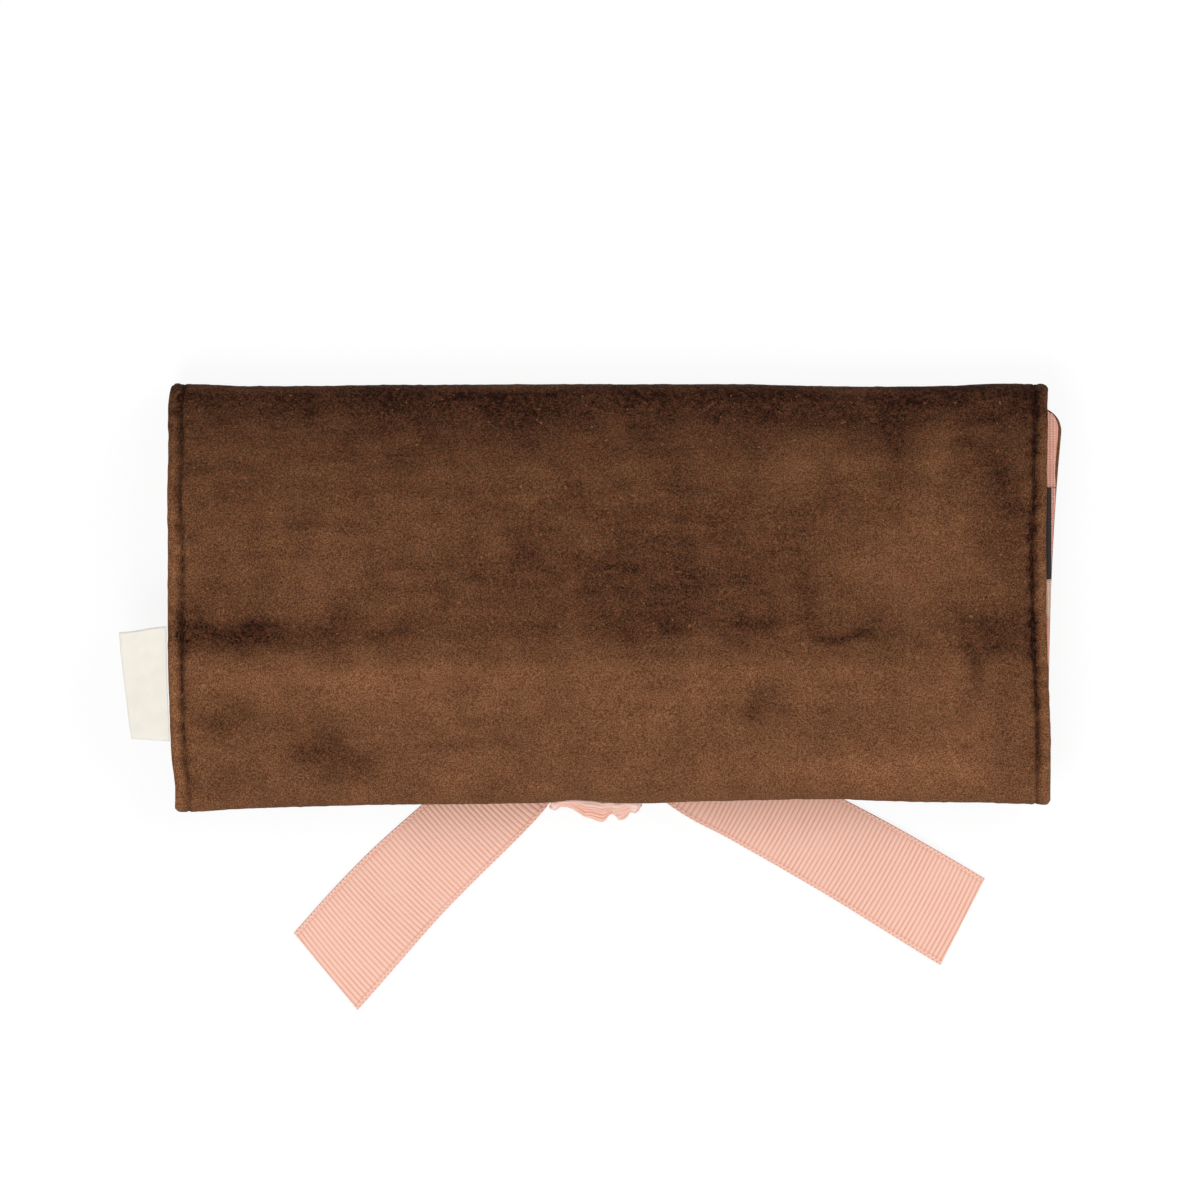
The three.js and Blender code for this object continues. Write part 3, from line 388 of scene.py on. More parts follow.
def closed_slab(outer, inner, welded=(False, False, False, False)):
    """Joins two grids of points into one closed skin.
    welded says at which of its start, end, left and right they meet."""
    rows, columns = outer.shape[:2]
    top = np.arange(rows * columns).reshape(rows, columns)
    under = top + rows * columns
    start, end, left, right = welded
    if start:
        under[0] = top[0]
    if end:
        under[-1] = top[-1]
    if left:
        under[:, 0] = top[:, 0]
    if right:
        under[:, -1] = top[:, -1]

    def quads(ids):
        return np.stack([ids[:-1, :-1], ids[:-1, 1:], ids[1:, 1:], ids[1:, :-1]], -1).reshape(-1, 4)

    def wall(near, far):
        return np.stack([near[1:], near[:-1], far[:-1], far[1:]], -1)

    faces = [quads(top), quads(under)[:, ::-1]]
    if not start:
        faces.append(wall(top[0], under[0]))
    if not end:
        faces.append(wall(top[-1, ::-1], under[-1, ::-1]))
    if not left:
        faces.append(wall(top[::-1, 0], under[::-1, 0]))
    if not right:
        faces.append(wall(top[:, -1], under[:, -1]))
    points = np.concatenate([outer.reshape(-1, 3), inner.reshape(-1, 3)])
    return points, np.concatenate(faces)


def facing_out(points, faces):
    """Turns a closed skin's faces over if they point inwards."""
    a, b, c, d = (points[faces[:, k]] for k in range(4))
    volume = np.einsum("ij,ij->i", a, np.cross(b, c)) + np.einsum("ij,ij->i", a, np.cross(c, d))
    return faces if volume.sum() > 0 else faces[:, ::-1]


def cloth_surface(across, along):
    """A place on the cloth for each point of both its faces."""
    places = np.stack(np.broadcast_arrays(across, along), -1)
    return np.tile(places.reshape(-1, 2), (2, 1))


def smooth_mesh(name, points, faces, finish, surface):
    """Makes a smooth mesh object. surface is each point's place on the cloth in millimetres, for its UV."""
    mesh = bpy.data.meshes.new(name)
    mesh.from_pydata((points * MM).tolist(), [], faces)
    mesh.polygons.foreach_set("use_smooth", np.ones(len(faces), bool))
    corners = np.zeros(len(mesh.loops), np.int32)
    mesh.loops.foreach_get("vertex_index", corners)
    layer = mesh.uv_layers.new(name="Cloth")
    layer.data.foreach_set("uv", (surface * MM)[corners].astype(np.float32).ravel())
    mesh.update()
    piece = bpy.data.objects.new(name, mesh)
    bpy.context.scene.collection.objects.link(piece)
    mesh.materials.append(finish_named(finish))
    return piece


def new_piece(name, points, faces, finish, surface, tone=None):
    """Makes a piece of a closed skin. tone is how light the velvet is at each point, from how its pile is
    brushed and from painted shade and highlight, or how pale the gathered ribbon is there, partly a painted
    highlight."""
    faces = facing_out(points, faces)
    kept, where = np.unique(faces, return_inverse=True)
    piece = smooth_mesh(name, points[kept], where.reshape(faces.shape).tolist(), finish, surface[kept])
    if tone is not None:
        tone_and_light = piece.data.attributes.new("tone_and_light", "FLOAT", "POINT")
        tone_and_light.data.foreach_set("value", tone[kept].astype(np.float32))
    return piece


def cloth_grid(sides, rows, fine, step, inset=0.0):
    """x of each column on each row, and its distance in from the nearer side, where columns are closer."""
    left, right = sides(rows)
    left, right = left + inset, right - inset
    fine = np.asarray(fine)
    width = float(np.max(right - left))
    shares = np.linspace(0, 1, max(int((width - 2 * fine[-1]) / step), 2) + 1)[1:-1]
    near = left[:, None] + fine
    far = right[:, None] - fine[::-1]
    between = near[:, -1:] + (far[:, :1] - near[:, -1:]) * shares
    x = np.concatenate([near, between, far], 1)
    from_side = np.concatenate([
        np.broadcast_to(fine, near.shape),
        np.minimum(between - left[:, None], right[:, None] - between),
        np.broadcast_to(fine[::-1], far.shape),
    ], 1)
    return x, from_side


def lifted(stretch, rows, x, height):
    """Points over the profile at these rows, x places and heights towards the velvet's side."""
    y, z, normal_y, normal_z = stretch.at(rows if rows.ndim == 2 else rows[:, None])
    return np.stack([x, y + normal_y * height, z + normal_z * height], -1)


def declare(piece, body, slot, *nodes):
    """Parents a finished piece to the empty of the body that it rides on, or only bakes its transform when it
    is given two bodies, and hides the solids that it stands for. slot is not used.
    """
    if isinstance(body, str):
        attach(piece, body)
    else:
        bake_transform(piece)
    if nodes:
        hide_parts(*nodes)
    return piece


# The two bodies that each bending cloth crosses, and where it leaves the first and joins the second.
# The cover's stand in this order. declare only reads that a piece is given two bodies, and bakes its transform.
COVER_BEND = ("back_panel", "flap", (0, 0, 14.6 * MM), (0, 0, 3.6 * MM))
INNER_BEND = ("back_panel", "inner_panel", (0, -52.6 * MM, 0), (0, -45.5 * MM, 0))


# Finishes


def linear(red, green, blue):
    """A colour given as 0 to 255, as Blender's shaders want it."""
    values = [v / 255 for v in (red, green, blue)]
    return tuple(v / 12.92 if v <= 0.04045 else ((v + 0.055) / 1.055) ** 2.4 for v in values)


def place(tree, kind, inputs=None, **settings):
    """Adds a node. inputs are its sockets' values, or the sockets that feed them."""
    node = tree.nodes.new(kind)
    for name, value in settings.items():
        setattr(node, name, value)
    for name, value in (inputs or {}).items():
        if isinstance(value, bpy.types.NodeSocket):
            tree.links.new(value, node.inputs[name])
        else:
            node.inputs[name].default_value = value
    return node


def sums(tree, operation, first, second=0.0, clamp=False):
    """The result of one maths node."""
    inputs = {0: first, 1: second}
    return place(tree, "ShaderNodeMath", inputs, operation=operation, use_clamp=clamp).outputs[0]


def ridges(tree, value, pitch=1.0, operation="SINE"):
    """Rounded ridges that stand this far apart along a value, or between those places with COSINE."""
    turned = sums(tree, operation, sums(tree, "MULTIPLY", value, math.pi / pitch))
    return sums(tree, "ABSOLUTE", turned)


def opaque(colour):
    """A colour with its alpha, where it isn't a socket."""
    return colour if isinstance(colour, bpy.types.NodeSocket) else (*colour, 1.0)


def colour_mix(tree, share, first, second, blend_type="MIX"):
    """The result of one colour mix."""
    inputs = {0: share, 6: opaque(first), 7: opaque(second)}
    return place(tree, "ShaderNodeMix", inputs, data_type="RGBA", blend_type=blend_type).outputs[2]


def ramped(tree, value, low, high, start=0.0, end=1.0):
    """A value carried softly from one range to another."""
    inputs = {0: value, 1: low, 2: high, 3: start, 4: end}
    return place(tree, "ShaderNodeMapRange", inputs, interpolation_type="SMOOTHSTEP").outputs[0]


def new_group(name, inputs, outputs):
    """A shader node group with these sockets, each given as name, kind and, for inputs, default value."""
    group = bpy.data.node_groups.new(name, "ShaderNodeTree")
    for socket, kind, value in inputs:
        made = group.interface.new_socket(socket, in_out="INPUT", socket_type=kind)
        made.default_value = value
    for socket, kind in outputs:
        group.interface.new_socket(socket, in_out="OUTPUT", socket_type=kind)
    return group, group.nodes.new("NodeGroupInput").outputs, group.nodes.new("NodeGroupOutput").inputs


FLOAT = "NodeSocketFloat"
COLOUR = "NodeSocketColor"

# The velvet's tufts are a little uneven in colour: least and most brightness of red, green and blue.
PILE_GRAIN = ((0.7, 1.32), (0.62, 1.46), (0.56, 1.62))


def pile_group():
    """Cut pile, whose tone follows its brushing and painted shade and highlight: smudges, brush lines, fine
    tufts and stray fibres.
    """
    group, given, out = new_group(
        "Cut pile",
        [
            ("Tone and light", FLOAT, 0.5),
            ("Dark", COLOUR, (0.03, 0.01, 0.005, 1)),
            ("Light", COLOUR, (0.2, 0.1, 0.06, 1)),
            ("Warm", COLOUR, (0.2, 0.06, 0.03, 1)),
            ("Smudge", FLOAT, 0.5),
            ("Tuft", FLOAT, 0.7),
        ],
        [("Color", COLOUR), ("Height", FLOAT)],
    )

    def noise(vector, scale, detail, roughness=0.5):
        inputs = {"Vector": vector, "Scale": scale, "Detail": detail, "Roughness": roughness}
        return place(group, "ShaderNodeTexNoise", inputs).outputs[0]

    def centred(value, share):
        return sums(group, "MULTIPLY", sums(group, "SUBTRACT", value, 0.5), share)

    where = place(group, "ShaderNodeTexCoord").outputs["Object"]
    strokes = place(group, "ShaderNodeMapping", {"Vector": where, "Scale": (90, 360, 160)}).outputs[0]
    soft = centred(noise(where, 75, 5, 0.6), given["Smudge"])
    line = centred(noise(strokes, 1, 3), sums(group, "MULTIPLY", given["Smudge"], 0.5))
    tuft = noise(where, 1900, 1, 0.7)
    fine = noise(where, 3100, 0)
    grain = centred(tuft, given["Tuft"])
    # The given tone holds painted shade and highlight as well as how the pile is brushed.
    brushed = sums(group, "ADD", given["Tone and light"], soft)
    tone = sums(group, "ADD", brushed, sums(group, "ADD", line, grain), clamp=True)
    plain = colour_mix(group, tone, given["Dark"], given["Light"])
    warm_share = ramped(group, noise(where, 800, 1), 0.42, 0.7, 0.0, 0.3)
    warmed = colour_mix(group, warm_share, plain, given["Warm"])
    parts = [ramped(group, fine, 0.35, 0.65, *span) for span in PILE_GRAIN]
    uneven = place(group, "ShaderNodeCombineColor", dict(enumerate(parts))).outputs[0]
    shaded = colour_mix(group, 1.0, warmed, uneven, "MULTIPLY")
    stray = ramped(group, noise(where, 1150, 0), 0.79, 0.85, 0.0, 0.8)
    group.links.new(colour_mix(group, stray, shaded, given["Light"]), out["Color"])
    group.links.new(sums(group, "ADD", tuft, sums(group, "MULTIPLY", fine, 0.6)), out["Height"])
    return group


def weave_group():
    """A fine ribbed weave on the cloth's own surface: raised cords with threads crossing them on a slant."""
    group, given, out = new_group(
        "Ribbed weave",
        [
            ("Cord pitch", FLOAT, 0.0008),
            ("Thread pitch", FLOAT, 0.0006),
            ("Slant", FLOAT, 0.4),
            ("Cloth", COLOUR, (0.7, 0.4, 0.3, 1)),
            ("Shadow", COLOUR, (0.4, 0.15, 0.1, 1)),
            ("Depth", FLOAT, 0.7),
        ],
        [("Color", COLOUR), ("Height", FLOAT)],
    )
    where = place(group, "ShaderNodeUVMap", uv_map="Cloth").outputs[0]
    parts = place(group, "ShaderNodeSeparateXYZ", {0: where}).outputs
    turns = sums(group, "DIVIDE", parts[0], given["Cord pitch"])
    cord = ridges(group, turns)
    lean = sums(group, "MULTIPLY", sums(group, "PINGPONG", turns, 0.5), given["Slant"])
    across = sums(group, "ADD", sums(group, "DIVIDE", parts[1], given["Thread pitch"]), lean)
    thread = ridges(group, across)
    height = sums(group, "MULTIPLY", sums(group, "POWER", cord, 0.6), sums(group, "POWER", thread, 0.4))
    uneven = place(group, "ShaderNodeTexNoise", {"Vector": where, "Scale": 240, "Detail": 3}).outputs[0]
    gap = sums(group, "MULTIPLY", ramped(group, height, 0.1, 0.85, 1.0, 0.0), given["Depth"])
    dull = ramped(group, uneven, 0.3, 0.75, 0.0, 0.16)
    mottled = colour_mix(group, dull, given["Cloth"], given["Shadow"])
    group.links.new(colour_mix(group, gap, mottled, given["Shadow"]), out["Color"])
    group.links.new(height, out["Height"])
    return group


def grosgrain_group():
    """Corded ribbon: ribs across it, fine warp threads along it and a looped selvedge at both sides."""
    group, given, out = new_group(
        "Grosgrain",
        [
            ("Pitch", FLOAT, 0.00115),
            ("Half width", FLOAT, 0.0125),
            ("Bow", FLOAT, 0.0003),
            ("Rib", COLOUR, (0.9, 0.5, 0.4, 1)),
            ("Furrow shade", COLOUR, (0.6, 0.3, 0.2, 1)),
        ],
        [("Color", COLOUR), ("Height", FLOAT)],
    )
    where = place(group, "ShaderNodeUVMap", uv_map="Cloth").outputs[0]
    parts = place(group, "ShaderNodeSeparateXYZ", {0: where}).outputs
    out_share = sums(group, "DIVIDE", sums(group, "ABSOLUTE", parts[0]), given["Half width"])
    bowed = sums(group, "MULTIPLY", sums(group, "POWER", out_share, 2.0), given["Bow"])
    run = sums(group, "DIVIDE", sums(group, "ADD", parts[1], bowed), given["Pitch"])
    rib, between = ridges(group, run), ridges(group, run, operation="COSINE")
    warp = ridges(group, parts[0], WARP_PITCH * MM)
    selvedge = ramped(group, out_share, SELVEDGE_START, 0.9)
    rows = []
    for loops, centre in zip((rib, between), LOOP_ROWS):
        off = sums(group, "ABSOLUTE", sums(group, "SUBTRACT", out_share, centre))
        near = ramped(group, off, 0.01, 0.042, 1.0, 0.0)
        rows.append(sums(group, "MULTIPLY", sums(group, "POWER", loops, 0.6), near))
    edge = sums(group, "ADD", rows[0], rows[1], clamp=True)
    plain = sums(group, "ADD", sums(group, "POWER", rib, 0.7), sums(group, "MULTIPLY", warp, 0.12))
    height = place(group, "ShaderNodeMix", {0: selvedge, 2: plain, 3: edge}).outputs[0]
    uneven = place(group, "ShaderNodeTexNoise", {"Vector": where, "Scale": 130, "Detail": 3}).outputs[0]
    # Painted shade: the lower the weave, the nearer its colour comes to the darker furrow colour.
    shade = ramped(group, height, 0.1, 1.0, 1.0, 0.0)
    softened = sums(group, "MULTIPLY", shade, ramped(group, uneven, 0.2, 0.8, 0.6, 0.95))
    group.links.new(colour_mix(group, softened, given["Rib"], given["Furrow shade"]), out["Color"])
    group.links.new(height, out["Height"])
    return group


def wear_group():
    """Handled metal or plastic: faint smudges and fine scratches, as a mask from nought to one."""
    group, given, out = new_group(
        "Handled wear",
        [("Smudge scale", FLOAT, 300.0), ("Scratch scale", FLOAT, 2600.0)],
        [("Mask", FLOAT), ("Height", FLOAT)],
    )
    where = place(group, "ShaderNodeTexCoord").outputs["Object"]
    blots = {"Vector": where, "Scale": given["Smudge scale"], "Detail": 4}
    smudge = place(group, "ShaderNodeTexNoise", blots)
    drawn_out = place(group, "ShaderNodeMapping", {"Vector": where, "Scale": (0.12, 1, 1)}).outputs[0]
    lines = {"Vector": drawn_out, "Scale": given["Scratch scale"], "Detail": 2}
    scratch = place(group, "ShaderNodeTexNoise", lines)
    thin = ramped(group, scratch.outputs[0], 0.6, 0.68)
    soft = sums(group, "MULTIPLY", smudge.outputs[0], 0.7)
    mask = sums(group, "ADD", soft, sums(group, "MULTIPLY", thin, 0.3), clamp=True)
    group.links.new(mask, out["Mask"])
    group.links.new(smudge.outputs[0], out["Height"])
    return group


def finish_named(name):
    """One of the roll's own finishes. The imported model's plain ones have the bare names."""
    return bpy.data.materials[f"roll_{name}"]


def new_finish(name, roughness=0.6, **fixed):
    """A material with one Principled shader, whose even values stand on its own sockets."""
    material = bpy.data.materials.new(f"roll_{name}")
    material.use_nodes = True
    tree = material.node_tree
    shader = tree.nodes["Principled BSDF"]
    shader.inputs["Roughness"].default_value = roughness
    for socket, value in fixed.items():
        shader.inputs[socket.replace("_", " ")].default_value = value
    return material, tree, shader


def add_bump(tree, shader, height, distance, strength=1.0):
    """Raises a finish's surface by a height of one group."""
    bump = place(tree, "ShaderNodeBump", {"Height": height, "Distance": distance, "Strength": strength})
    tree.links.new(bump.outputs[0], shader.inputs["Normal"])


def use_group(tree, group, values, shader, distance, strength=1.0):
    """Places a shared group, sends its colour to the shader and its height to a bump."""
    values = {name: opaque(value) if isinstance(value, tuple) else value for name, value in values.items()}
    node = place(tree, "ShaderNodeGroup", values, node_tree=group)
    tree.links.new(node.outputs["Color"], shader.inputs["Base Color"])
    add_bump(tree, shader, node.outputs["Height"], distance, strength)
    return node


def darker(colour, share):
    """A colour at this share of its brightness."""
    return tuple(part * share for part in colour)


def make_finishes(colours, sizes):
    """Builds every finish of the roll."""
    pile, weave, grosgrain, wear = pile_group(), weave_group(), grosgrain_group(), wear_group()

    _, tree, shader = new_finish(
        "velvet",
        0.95,
        Sheen_Weight=0.05,
        Sheen_Roughness=0.3,
        Sheen_Tint=(0.7, 0.45, 0.3, 1),
        Specular_IOR_Level=0.08,
    )
    tones = {
        "Tone and light": place(tree, "ShaderNodeAttribute", attribute_name="tone_and_light").outputs["Fac"],
        "Dark": tuple(colours.velvet_dark_and_shade),
        "Light": tuple(colours.velvet_light_and_highlight),
        "Warm": tuple(colours.velvet_warm),
    }
    use_group(tree, pile, tones, shader, sizes.pile_height)

    _, tree, shader = new_finish("thread", 0.7, Sheen_Weight=0.05, Specular_IOR_Level=0.15)
    twist = {"Cord pitch": 0.0004, "Thread pitch": 0.0011, "Slant": 1.2, "Depth": 0.5}
    tones = {"Cloth": tuple(colours.thread), "Shadow": darker(colours.thread, 0.35)}
    use_group(tree, weave, twist | tones, shader, 0.00005)

    for name, cloth, shadow, pitch, slant, depth in [
        ("pink_lining", colours.lining, colours.lining_shadow, sizes.lining_cord, 0.7, 0.62),
        ("peach_lining", colours.strip, colours.strip_shadow, sizes.lining_cord, 0.7, 0.62),
        ("zip_tape", colours.tape, darker(colours.tape, 0.3), 0.0007, 0.7, 0.62),
        ("label", colours.label, darker(colours.label, 0.72), 0.00028, 1.0, 0.14),
    ]:
        _, tree, shader = new_finish(
            name, 0.62, Sheen_Weight=0.12, Sheen_Roughness=0.4, Specular_IOR_Level=0.3
        )
        threads = {"Cord pitch": pitch, "Thread pitch": pitch * 0.8, "Slant": slant, "Depth": depth}
        tones = {"Cloth": tuple(cloth), "Shadow": tuple(shadow)}
        use_group(tree, weave, threads | tones, shader, pitch * 0.22)

    # Both ribbons are painted darker between their ribs as painted shade, the gathered one darker still in its
    # folds.
    for name, furrow_shade in [("ribbon", colours.ribbon_furrow_shade), ("ribbon_gathered", colours.ribbon_fold_shade)]:
        _, tree, shader = new_finish(
            name, 0.52, Sheen_Weight=0.15, Sheen_Roughness=0.35, Specular_IOR_Level=0.35
        )
        ribs = {"Pitch": sizes.rib_pitch, "Rib": tuple(colours.ribbon), "Furrow shade": tuple(furrow_shade)}
        ribbed = use_group(tree, grosgrain, ribs, shader, 0.00012, 0.7)
    # The gathered ribbon's tone attribute says how pale each place is: its paler loops, and its sewn edge,
    # partly paler threads and partly painted highlight.
    pale = place(tree, "ShaderNodeAttribute", attribute_name="tone_and_light").outputs["Fac"]
    paler = colour_mix(tree, pale, ribbed.outputs["Color"], tuple(colours.ribbon_edge_and_highlight))
    tree.links.new(paler, shader.inputs["Base Color"])

    for name, colour, metallic, smooth_part, worn_part in [
        ("metal", colours.metal, 1.0, 0.2, 0.42),
        ("zip_teeth", colours.teeth, 0.0, 0.32, 0.5),
    ]:
        _, tree, shader = new_finish(name, 0.3, Metallic=metallic, Specular_IOR_Level=0.5)
        used = place(tree, "ShaderNodeGroup", node_tree=wear).outputs
        worn = colour_mix(tree, used["Mask"], tuple(colour), darker(colour, 0.72))
        tree.links.new(worn, shader.inputs["Base Color"])
        rough = ramped(tree, used["Mask"], 0.2, 0.7, smooth_part, worn_part)
        tree.links.new(rough, shader.inputs["Roughness"])
        add_bump(tree, shader, used["Height"], 0.00004, 0.6)


# The share of the light and shadow that really fall on the floor that it shows.
FLOOR_SHADOW = 0.14


def floor_finish():
    """A white floor that keeps a soft share of the roll's shadow and is otherwise plain white to the camera."""
    white_paint = (0.96, 0.96, 0.96, 1)
    material, tree, shader = new_finish("pale_floor", 0.9, Base_Color=white_paint, Specular_IOR_Level=0.0)
    seen = place(tree, "ShaderNodeLightPath").outputs
    rays = sums(tree, "ADD", seen["Is Camera Ray"], seen["Is Glossy Ray"])
    rays = sums(tree, "ADD", rays, seen["Is Transmission Ray"])
    share = sums(tree, "MULTIPLY", rays, 1 - FLOOR_SHADOW, clamp=True)
    white = place(tree, "ShaderNodeEmission", {"Color": (1, 1, 1, 1), "Strength": 1.02})
    both = place(tree, "ShaderNodeMixShader", {0: share, 1: shader.outputs[0], 2: white.outputs[0]})
    tree.links.new(both.outputs[0], tree.nodes["Material Output"].inputs["Surface"])
    return material


def colour_setting(name, description, *default):
    """A colour that a user may change, its default given as 0 to 255."""
    return FloatVectorProperty(
        name=name, description=description, default=linear(*default), size=3, subtype="COLOR", min=0, max=1
    )


def length_setting(name, description, default):
    """A length that a user may change, in metres."""
    return FloatProperty(
        name=name, description=description, default=default, subtype="DISTANCE", unit="LENGTH", precision=5
    )


class RollColours(bpy.types.PropertyGroup):
    """Colours of the roll's cloths, ribbon and fittings."""

    # The velvet's tone runs between these two, set by how its pile is brushed and by painted shade and
    # highlight.
    velvet_dark_and_shade: colour_setting("Velvet dark", "The pile brushed away from the light", 34, 15, 8)
    velvet_light_and_highlight: colour_setting("Velvet light", "The pile brushed to the light", 142, 95, 62)
    velvet_warm: colour_setting("Velvet warm", "The pile's reddish fibres", 111, 62, 41)
    thread: colour_setting("Thread", "Topstitching", 62, 36, 25)
    lining: colour_setting("Lining", "The pink ribbed lining", 252, 194, 174)
    lining_shadow: colour_setting("Lining shadow", "Between the pink lining's cords", 206, 112, 96)
    strip: colour_setting("Pocket strip", "The peach fabric below the zip", 250, 216, 192)
    strip_shadow: colour_setting("Pocket strip shadow", "Between the peach fabric's cords", 186, 138, 112)
    ribbon: colour_setting("Ribbon", "The ribs of the grosgrain", 247, 199, 179)
    # Painted shade: the colour painted between the ribbon's ribs, and a darker one in the gathered ribbon's
    # folds.
    ribbon_furrow_shade: colour_setting("Ribbon furrow", "Between the grosgrain's ribs", 220, 146, 124)
    ribbon_fold_shade: colour_setting("Ribbon fold", "In the gathered ribbon's folds", 204, 116, 92)
    # Partly painted highlight: the gathered ribbon's sewn edge takes this paler colour, as do its paler loops.
    ribbon_edge_and_highlight: colour_setting("Ribbon edge", "The gathered ribbon's edge and its loops", 255, 236, 226)
    label: colour_setting("Label", "The woven side label", 255, 249, 237)
    tape: colour_setting("Zip tape", "The zip's woven tapes", 58, 44, 38)
    teeth: colour_setting("Zip teeth", "The zip's moulded teeth", 34, 29, 27)
    metal: colour_setting("Metal", "Slider, pull, stops and snap", 205, 170, 112)


class RollSizes(bpy.types.PropertyGroup):
    """Sizes of the roll's finer forms."""

    groove_depth: length_setting("Groove depth", "How far the topstitching pulls the velvet in", 0.00095)
    stitch_pitch: length_setting("Stitch pitch", "From one topstitch to the next", 0.0028)
    stitch_width: length_setting("Stitch width", "Thickness of the topstitching thread", 0.00036)
    pile_height: length_setting("Pile height", "Depth of the velvet's tufts", 0.00022)
    lining_cord: length_setting("Lining cord", "From one cord of the lining to the next", 0.0008)
    rib_pitch: length_setting("Rib pitch", "From one rib of the ribbon to the next", 0.00115)
    rib_height: length_setting("Rib height", "How far the ribbon's ribs stand up", 0.00013)
    crease: FloatProperty(
        name="Creases",
        description="How deep the back panel's creases are, one as in the roll",
        default=1.0,
        min=0,
        max=2,
    )


# Velvet shells


# Distances in from a shell's turned edge at which its mesh has a line.
FINE_STEPS = [0, 0.1, 0.3, 0.6, 1, 1.5, 2, 2.5, 2.85, 3.1, 3.27, 3.42, 3.57, 3.72, 3.9, 4.2, 4.7, 5.3, 6, 6.8]

# The same for a thin cloth.
SHEET_STEPS = [0, 0.25, 0.7, 1.3, 2.0, 2.6, 3.4, 4.6, 6.0]


def free_rows(length, step, free_start, free_end):
    """Distances along a cloth, close together at its free ends."""
    fine = np.asarray(FINE_STEPS)
    start = fine[-1] if free_start else 0
    end = length - fine[-1] if free_end else length
    rows = np.linspace(start, end, int((end - start) / step) + 1)
    if free_start:
        rows = np.concatenate([fine[:-1], rows])
    if free_end:
        rows = np.concatenate([rows, length - fine[-2::-1]])
    return rows


def from_free_end(rows, length, free_start, free_end):
    """Distance of each row from the nearest free end."""
    start = rows if free_start else np.full_like(rows, 1e3)
    end = length - rows if free_end else np.full_like(rows, 1e3)
    return np.minimum(start, end)


def groove_height(distance, along, sizes, seed, pulled=1.0):
    """How far the topstitching pulls the velvet in, most where each stitch goes down, with puckers beside."""
    pitch = sizes.stitch_pitch / MM
    off = distance - GROOVE_IN - seam_wander(along, seed)
    pull = np.cos(2 * math.pi * along / pitch)
    depth = sizes.groove_depth / MM * (1 + 0.18 * pull + 0.16 * waver(along, 9, seed + 1))
    puckers = 0.17 * wander(along, distance * 0.6, 3.6, seed + 2) + 0.05 * pull
    beside = hump(off + 0.4, 2.3) * smooth(distance)
    drawn_in = depth * hump(off, 0.45) + SEAM_HOLLOW * hump(off, 1.6)
    return puckers * beside - pulled * drawn_in


def pulled_at_folds(rows, *folds):
    """The share of the seams' pull that is left on each row, as the cloth lies flatter over a fold."""
    share = np.ones(len(rows))
    for fold in folds:
        share = share - 0.75 * hump(rows - fold, 5)
    return share[:, None]


def pile_lumps(shape, seed):
    """The pile's own small unevenness, point by point."""
    return np.random.default_rng(seed).normal(0, 0.04, shape)


# The cloth that swells the padding is simulated at ten times its size, as the solver copes badly with cloth of
# a few millimetres.
CLOTH_SCALE = 10
CLOTH_FRAMES = 20


def swelling(rows, x, held):
    """Swells a sheet over the cover's velvet with Blender's Cloth, under pressure and with a little to spare.
    Gives each point's rise off the panel in millimetres, CUSHION at most, as the topstitching keeps it flat.
    held says which points the seams and folds hold."""
    scene = bpy.context.scene
    start = lifted(COVER, rows, x, np.full(x.shape, PANEL_THICK))
    ids = np.arange(x.size).reshape(x.shape)
    faces = np.stack([ids[:-1, :-1], ids[1:, :-1], ids[1:, 1:], ids[:-1, 1:]], -1).reshape(-1, 4)
    mesh = bpy.data.meshes.new("Swelling")
    mesh.from_pydata((start.reshape(-1, 3) * MM * CLOTH_SCALE).tolist(), [], faces.tolist())
    mesh.update()
    piece = bpy.data.objects.new("Swelling", mesh)
    scene.collection.objects.link(piece)
    piece.vertex_groups.new(name="Held").add(np.flatnonzero(held).tolist(), 1.0, "REPLACE")
    cloth = piece.modifiers.new("Cloth", "CLOTH")
    cloth.collision_settings.use_self_collision = False
    settings = cloth.settings
    settings.vertex_group_mass = "Held"
    settings.mass, settings.quality = 0.3, 6
    settings.tension_stiffness = settings.compression_stiffness = 80
    settings.shear_stiffness, settings.bending_stiffness = 30, 5
    settings.shrink_min = settings.shrink_max = -0.004
    settings.use_pressure = True
    settings.uniform_pressure_force = 4
    settings.effector_weights.gravity = 0
    for frame_number in range(1, CLOTH_FRAMES + 1):
        scene.frame_set(frame_number)
    swollen = piece.evaluated_get(bpy.context.evaluated_depsgraph_get())
    ends = np.array([v.co for v in swollen.data.vertices]).reshape(start.shape) / (MM * CLOTH_SCALE)
    bpy.data.objects.remove(piece)
    bpy.data.meshes.remove(mesh)
    scene.frame_set(1)
    normal_y, normal_z = (n[:, None] for n in COVER.at(rows)[2:])
    rise = (ends - start)[..., 1] * normal_y + (ends - start)[..., 2] * normal_z
    return CUSHION * np.tanh(rise / 3.5)


def padding_rise():
    """How far the wadding swells the back panel between its seams, folds and the crease across it."""
    top, low = COVER.mark["back_top_root"], COVER.mark["back_low_root"]
    rows, columns = np.linspace(top - 2, low + 4, 34), np.linspace(-107.2, 107.2, 74)
    x = np.broadcast_to(columns, (len(rows), len(columns)))
    y = COVER.at(rows)[0][:, None]
    held = (np.abs(x) > 107) | (rows[:, None] < rows[1] - 1) | (rows[:, None] > rows[-2] + 1)
    held |= crease_depth(x, y, [BACK_CREASES[0], BACK_CREASES[4]]) > 0.5
    return rows, columns, swelling(rows, x, held)


